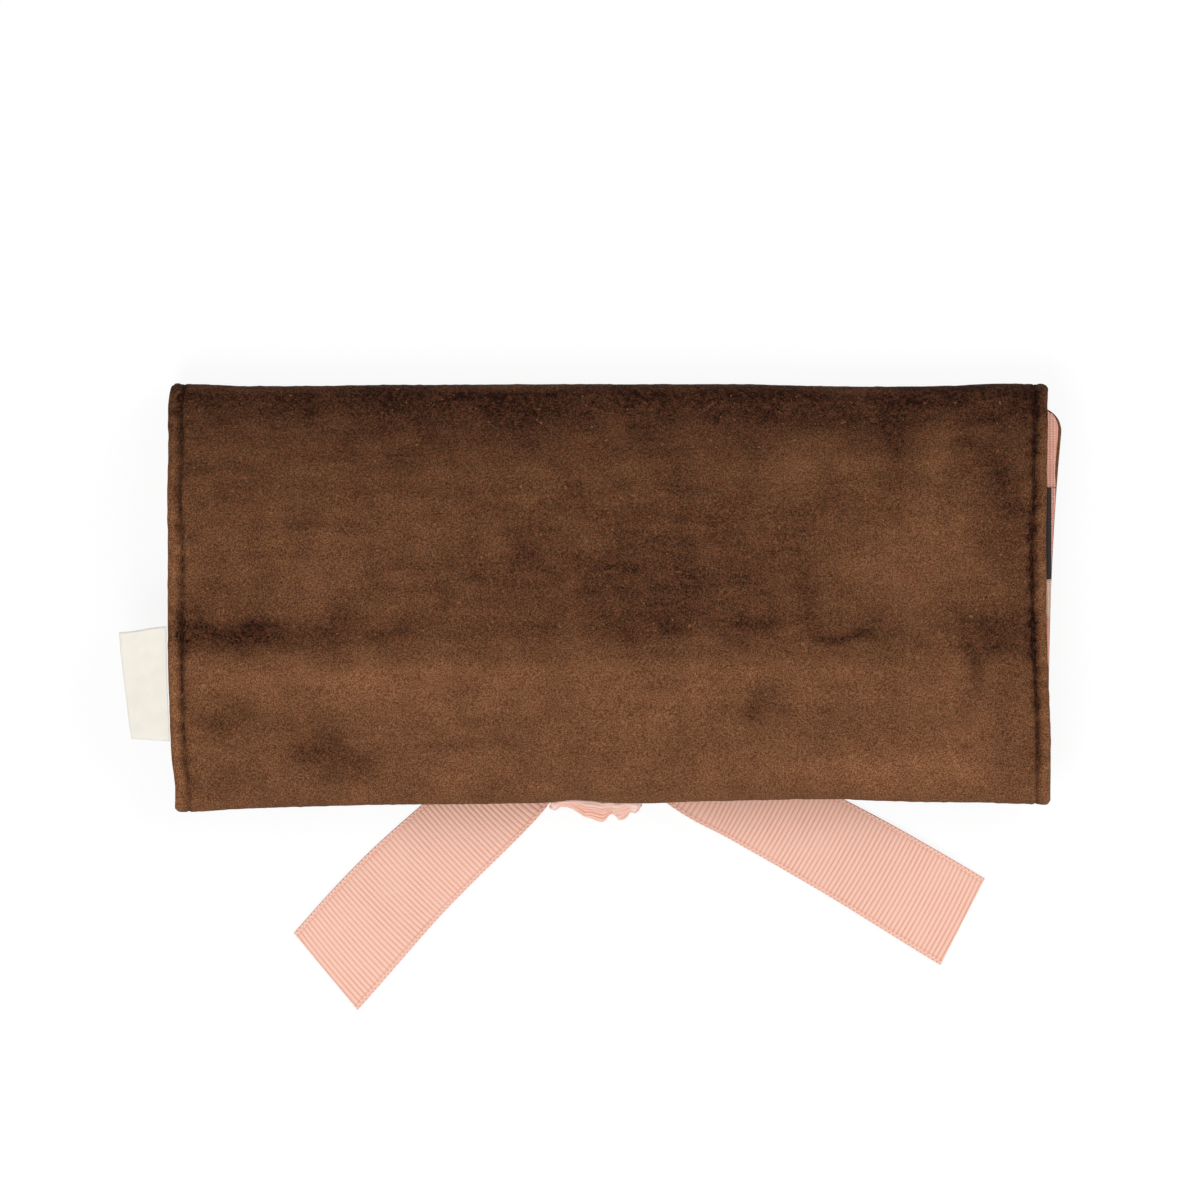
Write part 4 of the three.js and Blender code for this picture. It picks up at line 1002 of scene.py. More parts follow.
def spread_over(grid, rows, x):
    """A coarse grid's values over finer rows and x places, smoothed so that its cells don't show."""
    at_rows, at_x, values = grid
    i = np.clip((rows[:, None] - at_rows[0]) / (at_rows[1] - at_rows[0]), 0, len(at_rows) - 1.001) + 0 * x
    j = np.clip((x - at_x[0]) / (at_x[1] - at_x[0]), 0, len(at_x) - 1.001)
    a, b = i.astype(int), j.astype(int)
    u, v = i - a, j - b
    over = (1 - u) * ((1 - v) * values[a, b] + v * values[a, b + 1])
    over = over + u * ((1 - v) * values[a + 1, b] + v * values[a + 1, b + 1])
    for _ in range(3):
        over[1:-1] = (over[:-2] + 2 * over[1:-1] + over[2:]) / 4
        over[:, 1:-1] = (over[:, :-2] + 2 * over[:, 1:-1] + over[:, 2:]) / 4
    return over


def back_relief(x, y, from_edge, sizes):
    """The back panel's creases and small unevenness, which fade towards its turned edges."""
    uneven = 0.14 * wander(x, y * 1.6, 34, 21) + 0.07 * wander(x, y, 9, 22) + 0.03 * wander(x, y, 4, 23)
    creases = sizes.crease * crease_depth(x, y, BACK_CREASES)
    return uneven * smooth(from_edge / 9) - creases * smooth((from_edge - 0.4) / 2.5)


def pile_and_shade_tone(x, y, rows, from_edge):
    """How light the back panel's pile is at each place, from how it is brushed and from painted shade and
    highlight.
    """
    along = np.broadcast_to(rows[:, None], x.shape)
    tone = np.interp(y, NAP_PLACES, PILE_AND_SHADE_TONES)
    shift_x = x + 3.0 * wander(x, y, 17, 31)
    shift_y = y + 1.6 * wander(x, y, 14, 32)
    for mark_x, mark_y, wide, high, change in PILE_AND_SHADE_MARKS:
        off = ((shift_x - mark_x) / wide) ** 2 + ((shift_y - mark_y) / high) ** 2
        tone = tone + change * np.exp(-off)
    tone = tone + 0.035 * wander(x, y * 1.5, 12, 33)

    # Painted shade darkens the pile along the topstitching's groove and its hollow, and a painted highlight
    # lightens the ridge by its edge, less so on the left.
    left = x < 0
    strayed = from_edge - GROOVE_IN - seam_wander(along, 11)
    seam = hump(strayed, 0.42) + 0.35 * hump(strayed + 0.5, 1.1)
    hollow_shade = (1 + 0.6 * wander(along, strayed, 6, 36)) * hump(strayed + 0.1, 1.4)
    hollow_shade = hollow_shade * np.where(left, 0.9 * smooth((-8 - y) / 6), 1.35 - 0.85 * smooth((y + 8) / 26))
    ridge = np.where(left, 0.27, 0.18) * smooth((2.6 - from_edge) / 1.2)
    patchy = 0.11 * wander(along, from_edge, 4.4, 34) * smooth((7 - from_edge) / 3)
    tufts = np.random.default_rng(35).normal(0, 0.055, x.shape) * smooth((8 - from_edge) / 4)
    return tone - np.where(left, 0.07, 0.13) * seam - 0.12 * hollow_shade + ridge + patchy + tufts


def shell_grid(stretch, sides, step_along, step_across, *free_ends):
    """Rows, x places and y of a velvet shell's mesh, each place's distance in from the nearest turned edge, and
    how far along that edge's seam it is."""
    rows = free_rows(stretch.length, step_along, *free_ends)
    x, from_side = cloth_grid(sides, rows, FINE_STEPS, step_across)
    free = from_free_end(rows, stretch.length, *free_ends)[:, None]
    y = np.broadcast_to(stretch.at(rows)[0][:, None], x.shape)
    return rows, x, y, np.minimum(from_side, free), np.where(from_side < free, rows[:, None], x)


def velvet_shell(name, stretch, rows, x, height, hidden_height, tone, welded):
    """Makes a velvet shell between two heights over its profile."""
    faces_of = [settled(lifted(stretch, rows, x, level)) for level in (height, hidden_height)]
    points, faces = closed_slab(*faces_of, welded)
    surface = cloth_surface(x, rows[:, None])
    return new_piece(name, points, faces, "velvet", surface, np.tile(tone.ravel(), 2))


def velvet_cover(sizes):
    """The outer velvet with its wadding: flap, top fold, back panel and half the bottom fold."""
    rows, x, y, from_edge, along = shell_grid(COVER, cover_sides, 0.95, 1.3, True, False)
    apex, flap_root = COVER.mark["top_apex"], COVER.mark["flap_root"]
    top, low = COVER.mark["back_top_root"], COVER.mark["back_low_root"]
    on_back = (smooth((rows - top + 2) / 4) * smooth((low + 3 - rows) / 4))[:, None]
    on_flap = smooth((flap_root - rows) / 3)[:, None]

    pulled = pulled_at_folds(rows, apex, COVER.length)
    height = edge_height(from_edge) + groove_height(from_edge, along, sizes, 11, pulled)
    rough = 1 + 1.3 * smooth((7 - from_edge) / 3)
    height = height + on_back * back_relief(x, y, from_edge, sizes) + rough * pile_lumps(x.shape, 5)
    height = height + spread_over(padding_rise(), rows, x) * smooth((from_edge - 3) / 3) * on_back
    height = height + on_flap * 0.05 * wander(x, y, 8, 41)
    # The flap lies on the table, so nothing of it swells past its thickness.
    height = np.where((rows < flap_root + 6)[:, None], np.minimum(height, PANEL_THICK), height)
    # Round the top fold the hidden face stands a little off the lining, and so stays behind it when open.
    clear = 0.5 * np.exp(-(((rows - apex) / 8.5) ** 4))[:, None] * smooth((from_edge - 1) / 2)
    hidden_height = rim_height(from_edge, COVER_RIM) + clear

    outer_y = settled(lifted(COVER, rows, x, height))[..., 1]
    # The flap's tone darkens towards the top fold as painted shade, with painted shade in its seam.
    flap_tone = 0.12 + 0.38 * smooth((apex - rows[:, None]) / 14) + 0.1 * wander(x, y, 26, 42)
    flap_tone = flap_tone - SEAM_SHADE * hump(from_edge - GROOVE_IN, 0.55)
    tone = np.where((rows > (top + apex) / 2)[:, None], pile_and_shade_tone(x, outer_y, rows, from_edge), flap_tone)
    welded = (True, False, True, True)
    return velvet_shell("velvet_cover", COVER, rows, x, height, hidden_height, tone, welded)


def velvet_inner(sizes):
    """The inner panel's velvet with its wadding, from the middle of the bottom fold to its tip."""
    rows, x, y, from_edge, along = shell_grid(INNER, inner_sides, 1.0, 1.4, False, True)
    height = edge_height(from_edge) + groove_height(from_edge, along, sizes, 14, pulled_at_folds(rows, 0))
    height = height + pile_lumps(x.shape, 6)
    height = height + 0.1 * wander(x, y, 22, 51) * smooth(from_edge / 8) * smooth(rows / 14)[:, None]
    # Painted shade in the seam and a painted highlight along the turned edge.
    tone = 0.52 + 0.07 * wander(x, y, 24, 52) - SEAM_SHADE * hump(from_edge - GROOVE_IN, 0.55)
    tone = tone + 0.14 * smooth((2.5 - from_edge) / 2)
    hidden_height, welded = rim_height(from_edge, INNER_RIM), (False, True, True, True)
    return velvet_shell("velvet_inner_panel", INNER, rows, x, height, hidden_height, tone, welded)


def sheet_on(name, finish, stretch, sides, rows, inset, lift, tone=None, drawn=None):
    """A thin cloth over a stretch. lift gives its near face's height for each place and distance from the side,
    and drawn how far it is drawn along the stretch."""
    x, from_side = cloth_grid(sides, rows, SHEET_STEPS, 2.2, inset)
    near = lift(x, rows[:, None] + 0 * x, from_side)
    edge = rounding(from_side / 0.3, 0.15)
    at = rows[:, None] + (0 * x if drawn is None else drawn(x, rows[:, None]))
    heights = [near + LINING_THICK * share for share in (0.5 + edge / 2, 0.5 - edge / 2)]
    points, faces = closed_slab(*[settled(lifted(stretch, at, x, height)) for height in heights])
    tone_and_light = None if tone is None else np.full(len(points), tone)
    return new_piece(name, points, faces, finish, cloth_surface(x, rows[:, None]), tone_and_light)


def lining_lift(length, free_start, free_end):
    """The lining's soft unevenness, with the line where the topstitching holds it down."""

    def lift(x, rows, from_side):
        free = np.minimum(rows if free_start else 1e3, length - rows if free_end else 1e3)
        from_edge = np.minimum(from_side, free)
        held = hump(from_edge - GROOVE_IN + COVER_RIM, 0.6)
        soft = 0.1 * wander(x, rows, 19, 61) + 0.05 * wander(x, rows, 6, 62)
        return (0.02 - 0.12 * smooth(from_edge / 4)) + soft * smooth((from_edge - 2) / 5) + 0.12 * held

    return lift


def sheet_rows(start, end, step=1.6):
    """Evenly spaced rows between two distances."""
    return np.linspace(start, end, max(int((end - start) / step), 2) + 1)


# Stitches


# The share of each stitch's pitch that shows as thread, and where its two ends are read.
STITCH_SHARE = 0.8
STITCH_ENDS = (-0.3, 0.3)


def stitch_shape(sizes):
    """One stitch of thread, a sphere drawn out to its length, as points and faces in millimetres."""
    bpy.ops.object.select_all(action="DESELECT")
    bpy.ops.mesh.primitive_uv_sphere_add(segments=8, ring_count=6, radius=0.5)
    shape = bpy.context.object
    bpy.ops.object.mode_set(mode="EDIT")
    bpy.ops.mesh.select_all(action="SELECT")
    long, thick = STITCH_SHARE * sizes.stitch_pitch / MM, sizes.stitch_width / MM
    bpy.ops.transform.resize(value=(long, thick, thick), center_override=(0, 0, 0))
    bpy.ops.object.mode_set(mode="OBJECT")
    points = np.array([v.co for v in shape.data.vertices])
    faces = [tuple(p.vertices) for p in shape.data.polygons]
    mesh = shape.data
    bpy.data.objects.remove(shape)
    bpy.data.meshes.remove(mesh)
    return points, faces


def stitches_along(shape, before, after, up):
    """Copies of one stitch, each from a point to the next and turned to the cloth's face."""
    points, faces = shape
    ahead = unit(after - before)
    side = unit(np.cross(up, ahead))
    top = np.cross(ahead, side)
    middle = (before + after) / 2
    made = (
        middle[:, None]
        + points[None, :, :1] * ahead[:, None]
        + points[None, :, 1:2] * side[:, None]
        + points[None, :, 2:] * top[:, None]
    )
    all_faces = [tuple(i + n * len(points) for i in face) for n in range(len(middle)) for face in faces]
    return made.reshape(-1, 3), all_faces


def cloth_points(stretch, rows, x, height):
    """Single points over the profile."""
    return settled(lifted(stretch, rows, x[:, None], height))[:, 0]


def face_normals(stretch, rows):
    """Which way the velvet's side faces at these rows."""
    normal_y, normal_z = stretch.at(rows)[2:]
    return np.column_stack([0 * normal_y, normal_y, normal_z])


def seam_line(stretch, sides, side, start, end, height, sizes, seed):
    """Ends of the stitches along one side of a cloth: points before and after each, and the face's normal."""
    pitch = sizes.stitch_pitch / MM
    rows = np.arange(start, end, pitch) + pitch / 2
    ends = []
    for shift in STITCH_ENDS:
        at = rows + shift
        left, right = sides(at)
        inset = GROOVE_IN + seam_wander(at, seed)
        ends.append(cloth_points(stretch, at, left + inset if side < 0 else right - inset, height))
    return *ends, face_normals(stretch, rows)


def cross_line(stretch, sides, row, inwards, height, sizes, seed):
    """Ends of the stitches across a cloth near one row, as seam_line gives them. inwards is the sign of the way
    in from its free end."""
    pitch = sizes.stitch_pitch / MM
    left, right = (float(edge[0]) for edge in sides(np.array([row])))
    inset = GROOVE_IN + 1
    x = np.arange(left + inset, right - inset - pitch, pitch) + pitch / 2
    rows = row + inwards * seam_wander(x, seed)
    ends = [cloth_points(stretch, rows, x + shift, height) for shift in STITCH_ENDS]
    return *ends, face_normals(stretch, rows)


def stitching(name, lines, sizes):
    """One mesh of stitches along several seams."""
    befores, afters, ups = (np.concatenate(parts) for parts in zip(*lines))
    points, faces = stitches_along(stitch_shape(sizes), befores, afters, ups)
    return smooth_mesh(name, points, faces, "thread", points[:, :2])


# Hard pieces


def rounded_copy(node, width):
    """A metal copy of a CAD solid with its flat faces made whole and its edges rounded."""
    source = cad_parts[node]
    piece = source.copy()
    piece.data = source.data.copy()
    for key in list(piece.keys()):
        del piece[key]
    piece.parent = None
    piece.name = f"{node}_finished"
    piece.hide_render = piece.hide_viewport = False
    bpy.context.scene.collection.objects.link(piece)
    bpy.ops.object.select_all(action="DESELECT")
    piece.select_set(True)
    bpy.context.view_layer.objects.active = piece
    bpy.ops.object.mode_set(mode="EDIT")
    bpy.ops.mesh.select_all(action="SELECT")
    bpy.ops.mesh.remove_doubles(threshold=2e-6)
    bpy.ops.mesh.dissolve_limited(angle_limit=math.radians(2))
    bpy.ops.object.mode_set(mode="OBJECT")
    bevel = piece.modifiers.new("Rounded edges", "BEVEL")
    bevel.width, bevel.segments = width * MM, 2
    bevel.limit_method, bevel.angle_limit = "ANGLE", math.radians(32)
    bpy.ops.object.modifier_apply(modifier=bevel.name)
    bpy.ops.object.shade_smooth_by_angle(angle=math.radians(34))
    piece.data.materials.clear()
    piece.data.materials.append(finish_named("metal"))
    return piece


# Ribbons


def ribbon_relief(share, run, sizes):
    """Height of a grosgrain ribbon's face over its middle: ribs, and two rows of small loops at each edge."""
    rib_height = sizes.rib_height / MM
    turns = math.pi * (run + 0.3 * share**2) / (sizes.rib_pitch / MM)
    rib, between = np.abs(np.sin(turns)), np.abs(np.cos(turns))
    out = np.abs(share)
    inner_loops, outer_loops = (hump(out - place_out, 0.016) for place_out in LOOP_ROWS)
    loops = (1.4 * inner_loops * rib + 1.6 * outer_loops * between) * rib_height
    edge = smooth((out - SELVEDGE_START) / 0.02)
    height = RIBBON_THICK / 2 + rib**0.7 * rib_height * (1 - edge) + loops * edge
    return height * rounding((1 - out) / 0.012)


def through(points, count):
    """A smooth curve through a few points, as many points along it."""
    points = np.asarray(points, float)
    ends = np.concatenate([points[:1], points, points[-1:]])
    t = np.linspace(0, len(points) - 1, count)
    span = np.minimum(t.astype(int), len(points) - 2)
    f = (t - span)[:, None]
    p0, p1, p2, p3 = (ends[span + k] for k in range(4))
    v0, v1 = (p2 - p0) / 2, (p3 - p1) / 2
    return (2 * p1 - 2 * p2 + v0 + v1) * f**3 + (-3 * p1 + 3 * p2 - 2 * v0 - v1) * f**2 + v0 * f + p1


def by_length(path, across, half, step):
    """A ribbon's path at even steps, how far along it each is, and the across directions and half widths."""
    run = run_along(path)
    at = np.linspace(0, run[-1], max(int(run[-1] / step), 3) + 1)
    columns = np.column_stack([path, across, half]).T
    even = np.column_stack([np.interp(at, run, column) for column in columns])
    return even[:, :3], at, even[:, 3:6], even[:, 6]


def ribbon_piece(node, path, across, half, sizes, held="laid", pleat=None, slant=0):
    pitch = sizes.rib_pitch / MM
    centre, run, across, half = by_length(path, across, half, pitch / 6)
    length = run[-1]
    ahead = np.gradient(centre, run, axis=0)
    normal = unit(np.cross(ahead, across))
    share = ACROSS[None]
    lift = 0 if pleat is None else pleat(share, run[:, None], length)
    thick = ribbon_relief(share, run[:, None], sizes)
    slide = slant * smooth((run - length) / SLANT_RUN + 1)
    scallop = 0.05 * np.cos(4 * math.pi * run / pitch)[:, None] * (np.abs(share) > 0.99)
    out = share * half[:, None] + np.sign(share) * scallop
    middle = centre[:, None] + across[:, None] * out[..., None]
    middle = middle + ahead[:, None] * (slide[:, None] * share)[..., None]
    faces_of = [middle + normal[:, None] * (lift + sign * thick)[..., None] for sign in (1, -1)]
    points, faces = closed_slab(*faces_of)
    surface = cloth_surface(share * RIBBON_HALF, run[:, None])
    piece = declare(new_piece(f"{node}_cloth", points, faces, "ribbon", surface), "flap", "ribbon", node)


def bow_loop(side):
    """Path, across directions and half widths of one loop, which leaves the knot low and comes back on top."""
    mouth, length, radius = KNOT_HALF, 54.0, 2.4
    low, high_start, high = 1.8, 6.4, 6.6
    straight = mouth + length - radius
    runs = np.concatenate([[mouth - 4], np.linspace(mouth + 0.3, straight, 40)])
    spread = smooth((runs - mouth - 0.3) / 9.7)
    turn = np.radians(np.linspace(-80, 80, 15))
    crown = 0.35 * smooth((runs - mouth - 8) / 20)
    run = np.concatenate([runs, straight + radius * np.cos(turn), runs[::-1]])
    z = np.concatenate([
        3.3 + (low - 3.3) * spread,
        low + radius + radius * np.sin(turn),
        (high_start + (high - high_start) * spread - crown)[::-1],
    ])
    droop = 1.6 * np.clip(run - mouth, 0, None) / length
    path = np.column_stack([KNOT[0] + side * run, KNOT[1] - droop, z])
    half = (10 + 15 * smooth((run - mouth - 0.3) / 20)) / 2
    return path, np.tile([0.0, 1.0, 0.0], (len(run), 1)), half


def loop_pleat(share, run, length):
    """Folds that run out of the knot into both faces of a loop and fade along it."""
    from_knot = np.minimum(run, length - run)
    near = hump(from_knot, 15)
    far = 0.1 * np.sin(share * 3.1 + run / 9) * smooth((from_knot - 8) / 12)
    folds = 0.42 * np.cos(share * 8.4 + 0.4) + 0.16 * np.cos(share * 15)
    return near * folds * smooth(from_knot / 5) + far


def bow_tail(side, widths, spread, places):
    """Path, across directions and half widths of one tail, which drops from the knot to the table and runs out.
    It widens from the first of its widths to the second over its spread."""
    start, way_out = (KNOT[0] + side * 4.25, KNOT[1]), (KNOT[0] + side * 6.85, KNOT[1] - 2)
    in_knot, on_table = 1.8, 0.6
    flat = through([start, way_out, *places], 160)
    run = run_along(flat)
    ahead = unit(np.gradient(flat, run, axis=0))
    drop = smooth((run - 8) / 4)
    outside = smooth((run / run[-1] - 0.5) / 0.25)
    wave = 0.8 * outside * np.sin(math.pi * 3 * run / run[-1]) ** 2
    path = np.column_stack([flat, in_knot + (on_table - in_knot) * drop + wave])
    narrow, wide = widths
    width = 6 + (narrow - 6) * smooth((run - 5) / 12) + (wide - narrow) * smooth((run - 25) / spread)
    return path, np.column_stack([-ahead[:, 1], ahead[:, 0], 0 * run]), width / 2


def tail_pleat(share, run, length):
    """The tail's folds near the knot and the faint cupping further out, never below the table."""
    near = hump(run - 10, 14) * 0.2 * (1 + np.cos(share * 9))
    far = 0.12 * smooth((run - length * 0.5) / 20) * share**2
    return near + far


# The crumpled ribbon seen from above, as x and y: where it leaves the velvet and how low it reaches.
CRUMPLE_TOP = [(-14.6, -52.5), (-12.4, -51.9), (-8, -50.9), (0, -51.3), (5, -51.7), (8.4, -52.4)]
CRUMPLE_LOW = [
    (-14.6, -53.4), (-14.2, -54.1), (-13.6, -54.4), (-12.9, -54), (-12.3, -53.4), (-10.8, -53.5), (-9.2, -53.9),
    (-7.8, -54.5), (-6, -55.8), (-4.6, -56.3), (-3.5, -56.7), (-2.4, -56.95), (-1.7, -57), (-1.1, -56.7),
    (-0.4, -56), (0.5, -55.5), (1.3, -55.4), (1.7, -55.9), (2.5, -56.6), (3.1, -56.4), (3.7, -55.9),
    (4.5, -54.8), (5.3, -54.4), (6, -54.4), (6.7, -54.9), (7.3, -54.5), (7.8, -53.7), (8.4, -53.3),
]
# The highest that the ribbon may stand under the velvet, and where it may rise past it.
CRUMPLE_CEILING = (7.95, -49.4)


def crumple_lift(x, y, fold, height):
    """Lift of the crumpled ribbon's folds, sewn edge and selvedge loops, and how pale each place is: its paler
    loops, and a sewn edge that is partly paler threads and partly painted highlight.
    """
    soft = 0.3 * wander(x * 0.3, fold * 3.4, 1.5, 71) + 0.13 * wander(x * 0.5, fold * 8, 1.6, 73)
    sewn = 0.42 * hump(fold - 0.2, 0.07) + 0.2 * hump(fold - 0.36, 0.04)
    line = 1.3 + 0.36 * (-53.4 - y) + 0.15 * np.sin(y * 5)
    lap = 0.5 * smooth((x - line) / 0.35 + 0.5) * smooth((7 - x) / 2)
    loops = hump(x - line, 0.32) * (0.5 + 0.5 * np.cos(2 * math.pi * y / 0.72))
    for nub_x, nub_y in ((-13.6, -53.3), (6.6, -53.8)):
        knobbly = 0.6 + 0.5 * np.cos(5.6 * (x - nub_x)) * np.cos(6.2 * (y - nub_y))
        loops = loops + hump(np.hypot(x - nub_x, y - nub_y), 0.95) * knobbly
    # The sewn edge's pale band is partly its paler threads and partly painted highlight.
    pale = hump(fold - 0.2, 0.09) + 0.5 * hump(fold - 0.36, 0.04)
    return (soft + sewn + lap + 0.34 * loops) * height, np.clip(0.95 * pale + loops, 0, 1) * height


def crumpled_ribbon(sizes):
    """The ribbon under the bottom fold, which bulges out past it in uneven folds and runs back to the knot."""
    folds, rows = 9, 64
    turn = np.linspace(0, math.pi, 2 * rows + 1)
    fold = np.where(turn < math.pi / 2, np.sin(turn), 2 - np.sin(turn))
    arc_z = 4.85 + 2.75 * np.sign(np.cos(turn)) * np.abs(np.cos(turn)) ** 0.6
    arc_z = arc_z + 3.8 * hump(fold - 0.3, 0.26)
    share = np.linspace(-1, 1, 121)[None]
    bulge_x = -3.1 + 11.5 * share
    top, low = (np.interp(bulge_x, *zip(*line)) for line in (CRUMPLE_TOP, CRUMPLE_LOW))
    reach = np.sin(turn)[:, None]
    arc = np.stack(np.broadcast_arrays(bulge_x, top + (low - top) * reach, arc_z[:, None]), -1)
    before = np.linspace(0, 1, 12)[:-1, None]
    sewn = np.stack(np.broadcast_arrays(bulge_x, -39.5 + (top + 39.5) * before, 7.6), -1)
    after = np.linspace(0, 1, 34)[1:, None]
    narrowed = smooth(after / 0.9)
    back_x = bulge_x + (KNOT[0] + KNOT_HALF * share - bulge_x) * narrowed
    back_z = 2.1 + 2 * smooth((after - 0.6) / 0.4)
    back = np.stack(np.broadcast_arrays(back_x, top + (-36.6 - top) * after, back_z), -1)
    middle = np.concatenate([sewn, arc, back])
    phase = np.concatenate([before[:, 0] * 10 - 10, folds * fold, 2 * folds + 13 * after[:, 0]])
    past_velvet = (np.clip(2 * np.sin(turn), 0, 1) * (turn < 1.9))[:, None]
    seen = np.concatenate([0 * before, past_velvet, 0 * after])
    run_fold = np.concatenate([0 * before, fold[:, None], 2 + 0 * after])
    lift, pale = crumple_lift(middle[..., 0], middle[..., 1], run_fold, seen)
    lift = lift + 0.3 * np.cos(share * 9) * np.concatenate([0 * before, 0 * reach, smooth(after * 3)])
    bowed = phase[:, None] + 0.35 * waver(bulge_x, 6, 72)
    ribs = np.abs(np.sin(math.pi * bowed)) ** 0.8 * sizes.rib_height / MM
    thick = (RIBBON_THICK / 2 + ribs) * rounding((1 - np.abs(share)) / 0.03)
    normal = unit(np.cross(np.gradient(middle, axis=1), np.gradient(middle, axis=0)))
    on_sewn_part = (5, 60, 2)
    if normal[on_sewn_part] < 0:
        normal = -normal
    skins = [middle + normal * (lift + sign * thick)[..., None] for sign in (1, -1)]
    ceiling, past = CRUMPLE_CEILING
    for skin in skins:
        skin[..., 2] = np.clip(skin[..., 2], 0.25, ceiling + 1.3 * np.clip(past - skin[..., 1], 0, 4))
    points, faces = closed_slab(*skins)
    surface = cloth_surface(share * RIBBON_HALF, bowed * sizes.rib_pitch / MM)
    return new_piece("ribbon_crumpled", points, faces, "ribbon_gathered", surface, np.tile(pale.ravel(), 2))


def ring_skin(outer, inner=None):
    """A closed skin from rings of points: a tube with capped ends, or a band when it has an inner grid too."""
    rows, columns = outer.shape[:2]
    ids = np.arange(rows * columns).reshape(rows, columns)
    around = np.roll(ids, -1, axis=1)
    faces = [np.stack([ids[:-1], around[:-1], around[1:], ids[1:]], -1).reshape(-1, 4)]
    points = outer.reshape(-1, 3)
    if inner is not None:
        under, under_next = ids + rows * columns, around + rows * columns
        faces.append(np.stack([under[1:], under_next[1:], under_next[:-1], under[:-1]], -1).reshape(-1, 4))
        faces.append(np.stack([around[0], ids[0], under[0], under_next[0]], -1))
        faces.append(np.stack([ids[-1], around[-1], under_next[-1], under[-1]], -1))
        points = np.concatenate([points, inner.reshape(-1, 3)])
    return points, np.concatenate(faces)


def knot_band(sizes):
    """The bow's knot: a ribbon gathered to half its width and wrapped round the loops' middles."""
    half_y, half_z, round_y = 8.2, 4.1, 2.6
    straight_y, straight_z = half_y - round_y, half_z - round_y
    turn = np.linspace(0, math.pi / 2, 9)[:-1]
    outline = []
    for quarter, (cy, cz) in enumerate([(1, 1), (-1, 1), (-1, -1), (1, -1)]):
        angle = turn + quarter * math.pi / 2
        corner = (cy * straight_y + round_y * np.cos(angle), cz * straight_z + round_y * np.sin(angle))
        outline.append(np.column_stack(corner))
    outline = np.vstack([*outline, outline[0][:1]])
    run = run_along(outline)
    ribs_round = round(run[-1] / (sizes.rib_pitch / MM))
    at = np.linspace(0, run[-1], ribs_round * 6 + 1)[:-1]
    around = np.column_stack([np.interp(at, run, outline[:, k]) for k in (0, 1)])
    ahead = unit(np.gradient(np.vstack([around[-1:], around, around[:1]]), axis=0)[1:-1])
    normal = np.column_stack([ahead[:, 1], -ahead[:, 0]])
    share = ACROSS[:, None]
    uneven = 0.12 * wander(share * 6, at, 8, 81)
    folds = 0.22 * np.cos(share * 10.5 + 0.5 * np.sin(at / 5)) - 0.2 + uneven
    ribs = 0.1 * np.abs(np.sin(math.pi * at / run[-1] * ribs_round + 0.6 * share)) ** 0.8
    edge = rounding((1 - np.abs(share)) / 0.05, 0.06)
    outer = np.minimum(-0.55 + (folds + ribs + 0.35) * edge, -0.02)
    inner = -1.15 + 0.1 * (1 - edge) + 0 * outer
    x = KNOT[0] + share * KNOT_HALF * (1 - 0.04 * np.cos(at / 4))
    skins = []
    for height in (outer, inner):
        yz = around[None] + normal[None] * height[..., None]
        skins.append(np.stack([x, KNOT[1] + yz[..., 0], half_z + yz[..., 1]], -1))
    points, faces = ring_skin(*skins)
    surface = cloth_surface(share * RIBBON_HALF, at)
    return new_piece("bow_knot_band", points, faces, "ribbon", surface), run[-1]


def ring_roll():
    """The ring bar's padded roll: a velvet tube gathered at both ends over its filling."""
    near_end = np.array([0, 0.4, 1])
    between = np.linspace(1.8 - RING_HALF, RING_HALF - 1.8, 230)
    x = np.concatenate([near_end - RING_HALF, between, RING_HALF - near_end[::-1]])
    turn = np.linspace(0, 2 * math.pi, 64, endpoint=False)
    end = RING_HALF - np.abs(x)
    radius = 2.6 + (RING_RADIUS - 2.6) * quarter_round(end / 6.5)
    gathers = 0.3 * hump(end, 6)[:, None] * np.cos(turn * 11 + 0.6 * np.sign(x)[:, None])
    uneven = 0.12 * wander(x[:, None], 5 * turn, 9, 91)
    seam = SEAM_HOLLOW * hump(turn - 4.7, 0.09)
    distance = np.minimum(radius[:, None] + gathers + uneven - 0.25 - seam, RING_RADIUS)
    y, z = RING_Y + distance * np.cos(turn), RING_Z + distance * np.sin(turn)
    outer = np.stack(np.broadcast_arrays(x[:, None], y, z), -1)
    caps = []
    for row, reach in ((0, -RING_HALF), (-1, RING_HALF)):
        inside = np.array([reach * 0.997, RING_Y, RING_Z])
        caps.append(inside + (outer[row] - inside) * [0, 0.03, 0.03])
    outer = np.concatenate([caps[0][None], outer, caps[1][None]])
    points, faces = ring_skin(outer)
    last = (len(outer) - 1) * len(turn)
    end_caps = []
    for i in range(1, len(turn) - 2, 2):
        end_caps += [[0, i, i + 1, i + 2], [last, last + i + 2, last + i + 1, last + i]]
    faces = np.concatenate([faces, end_caps])
    tone = 0.5 + 0.07 * wander(points[:, 0], points[:, 1], 18, 92)
    return new_piece("ring_roll", points, faces, "velvet", points[:, :2], tone)


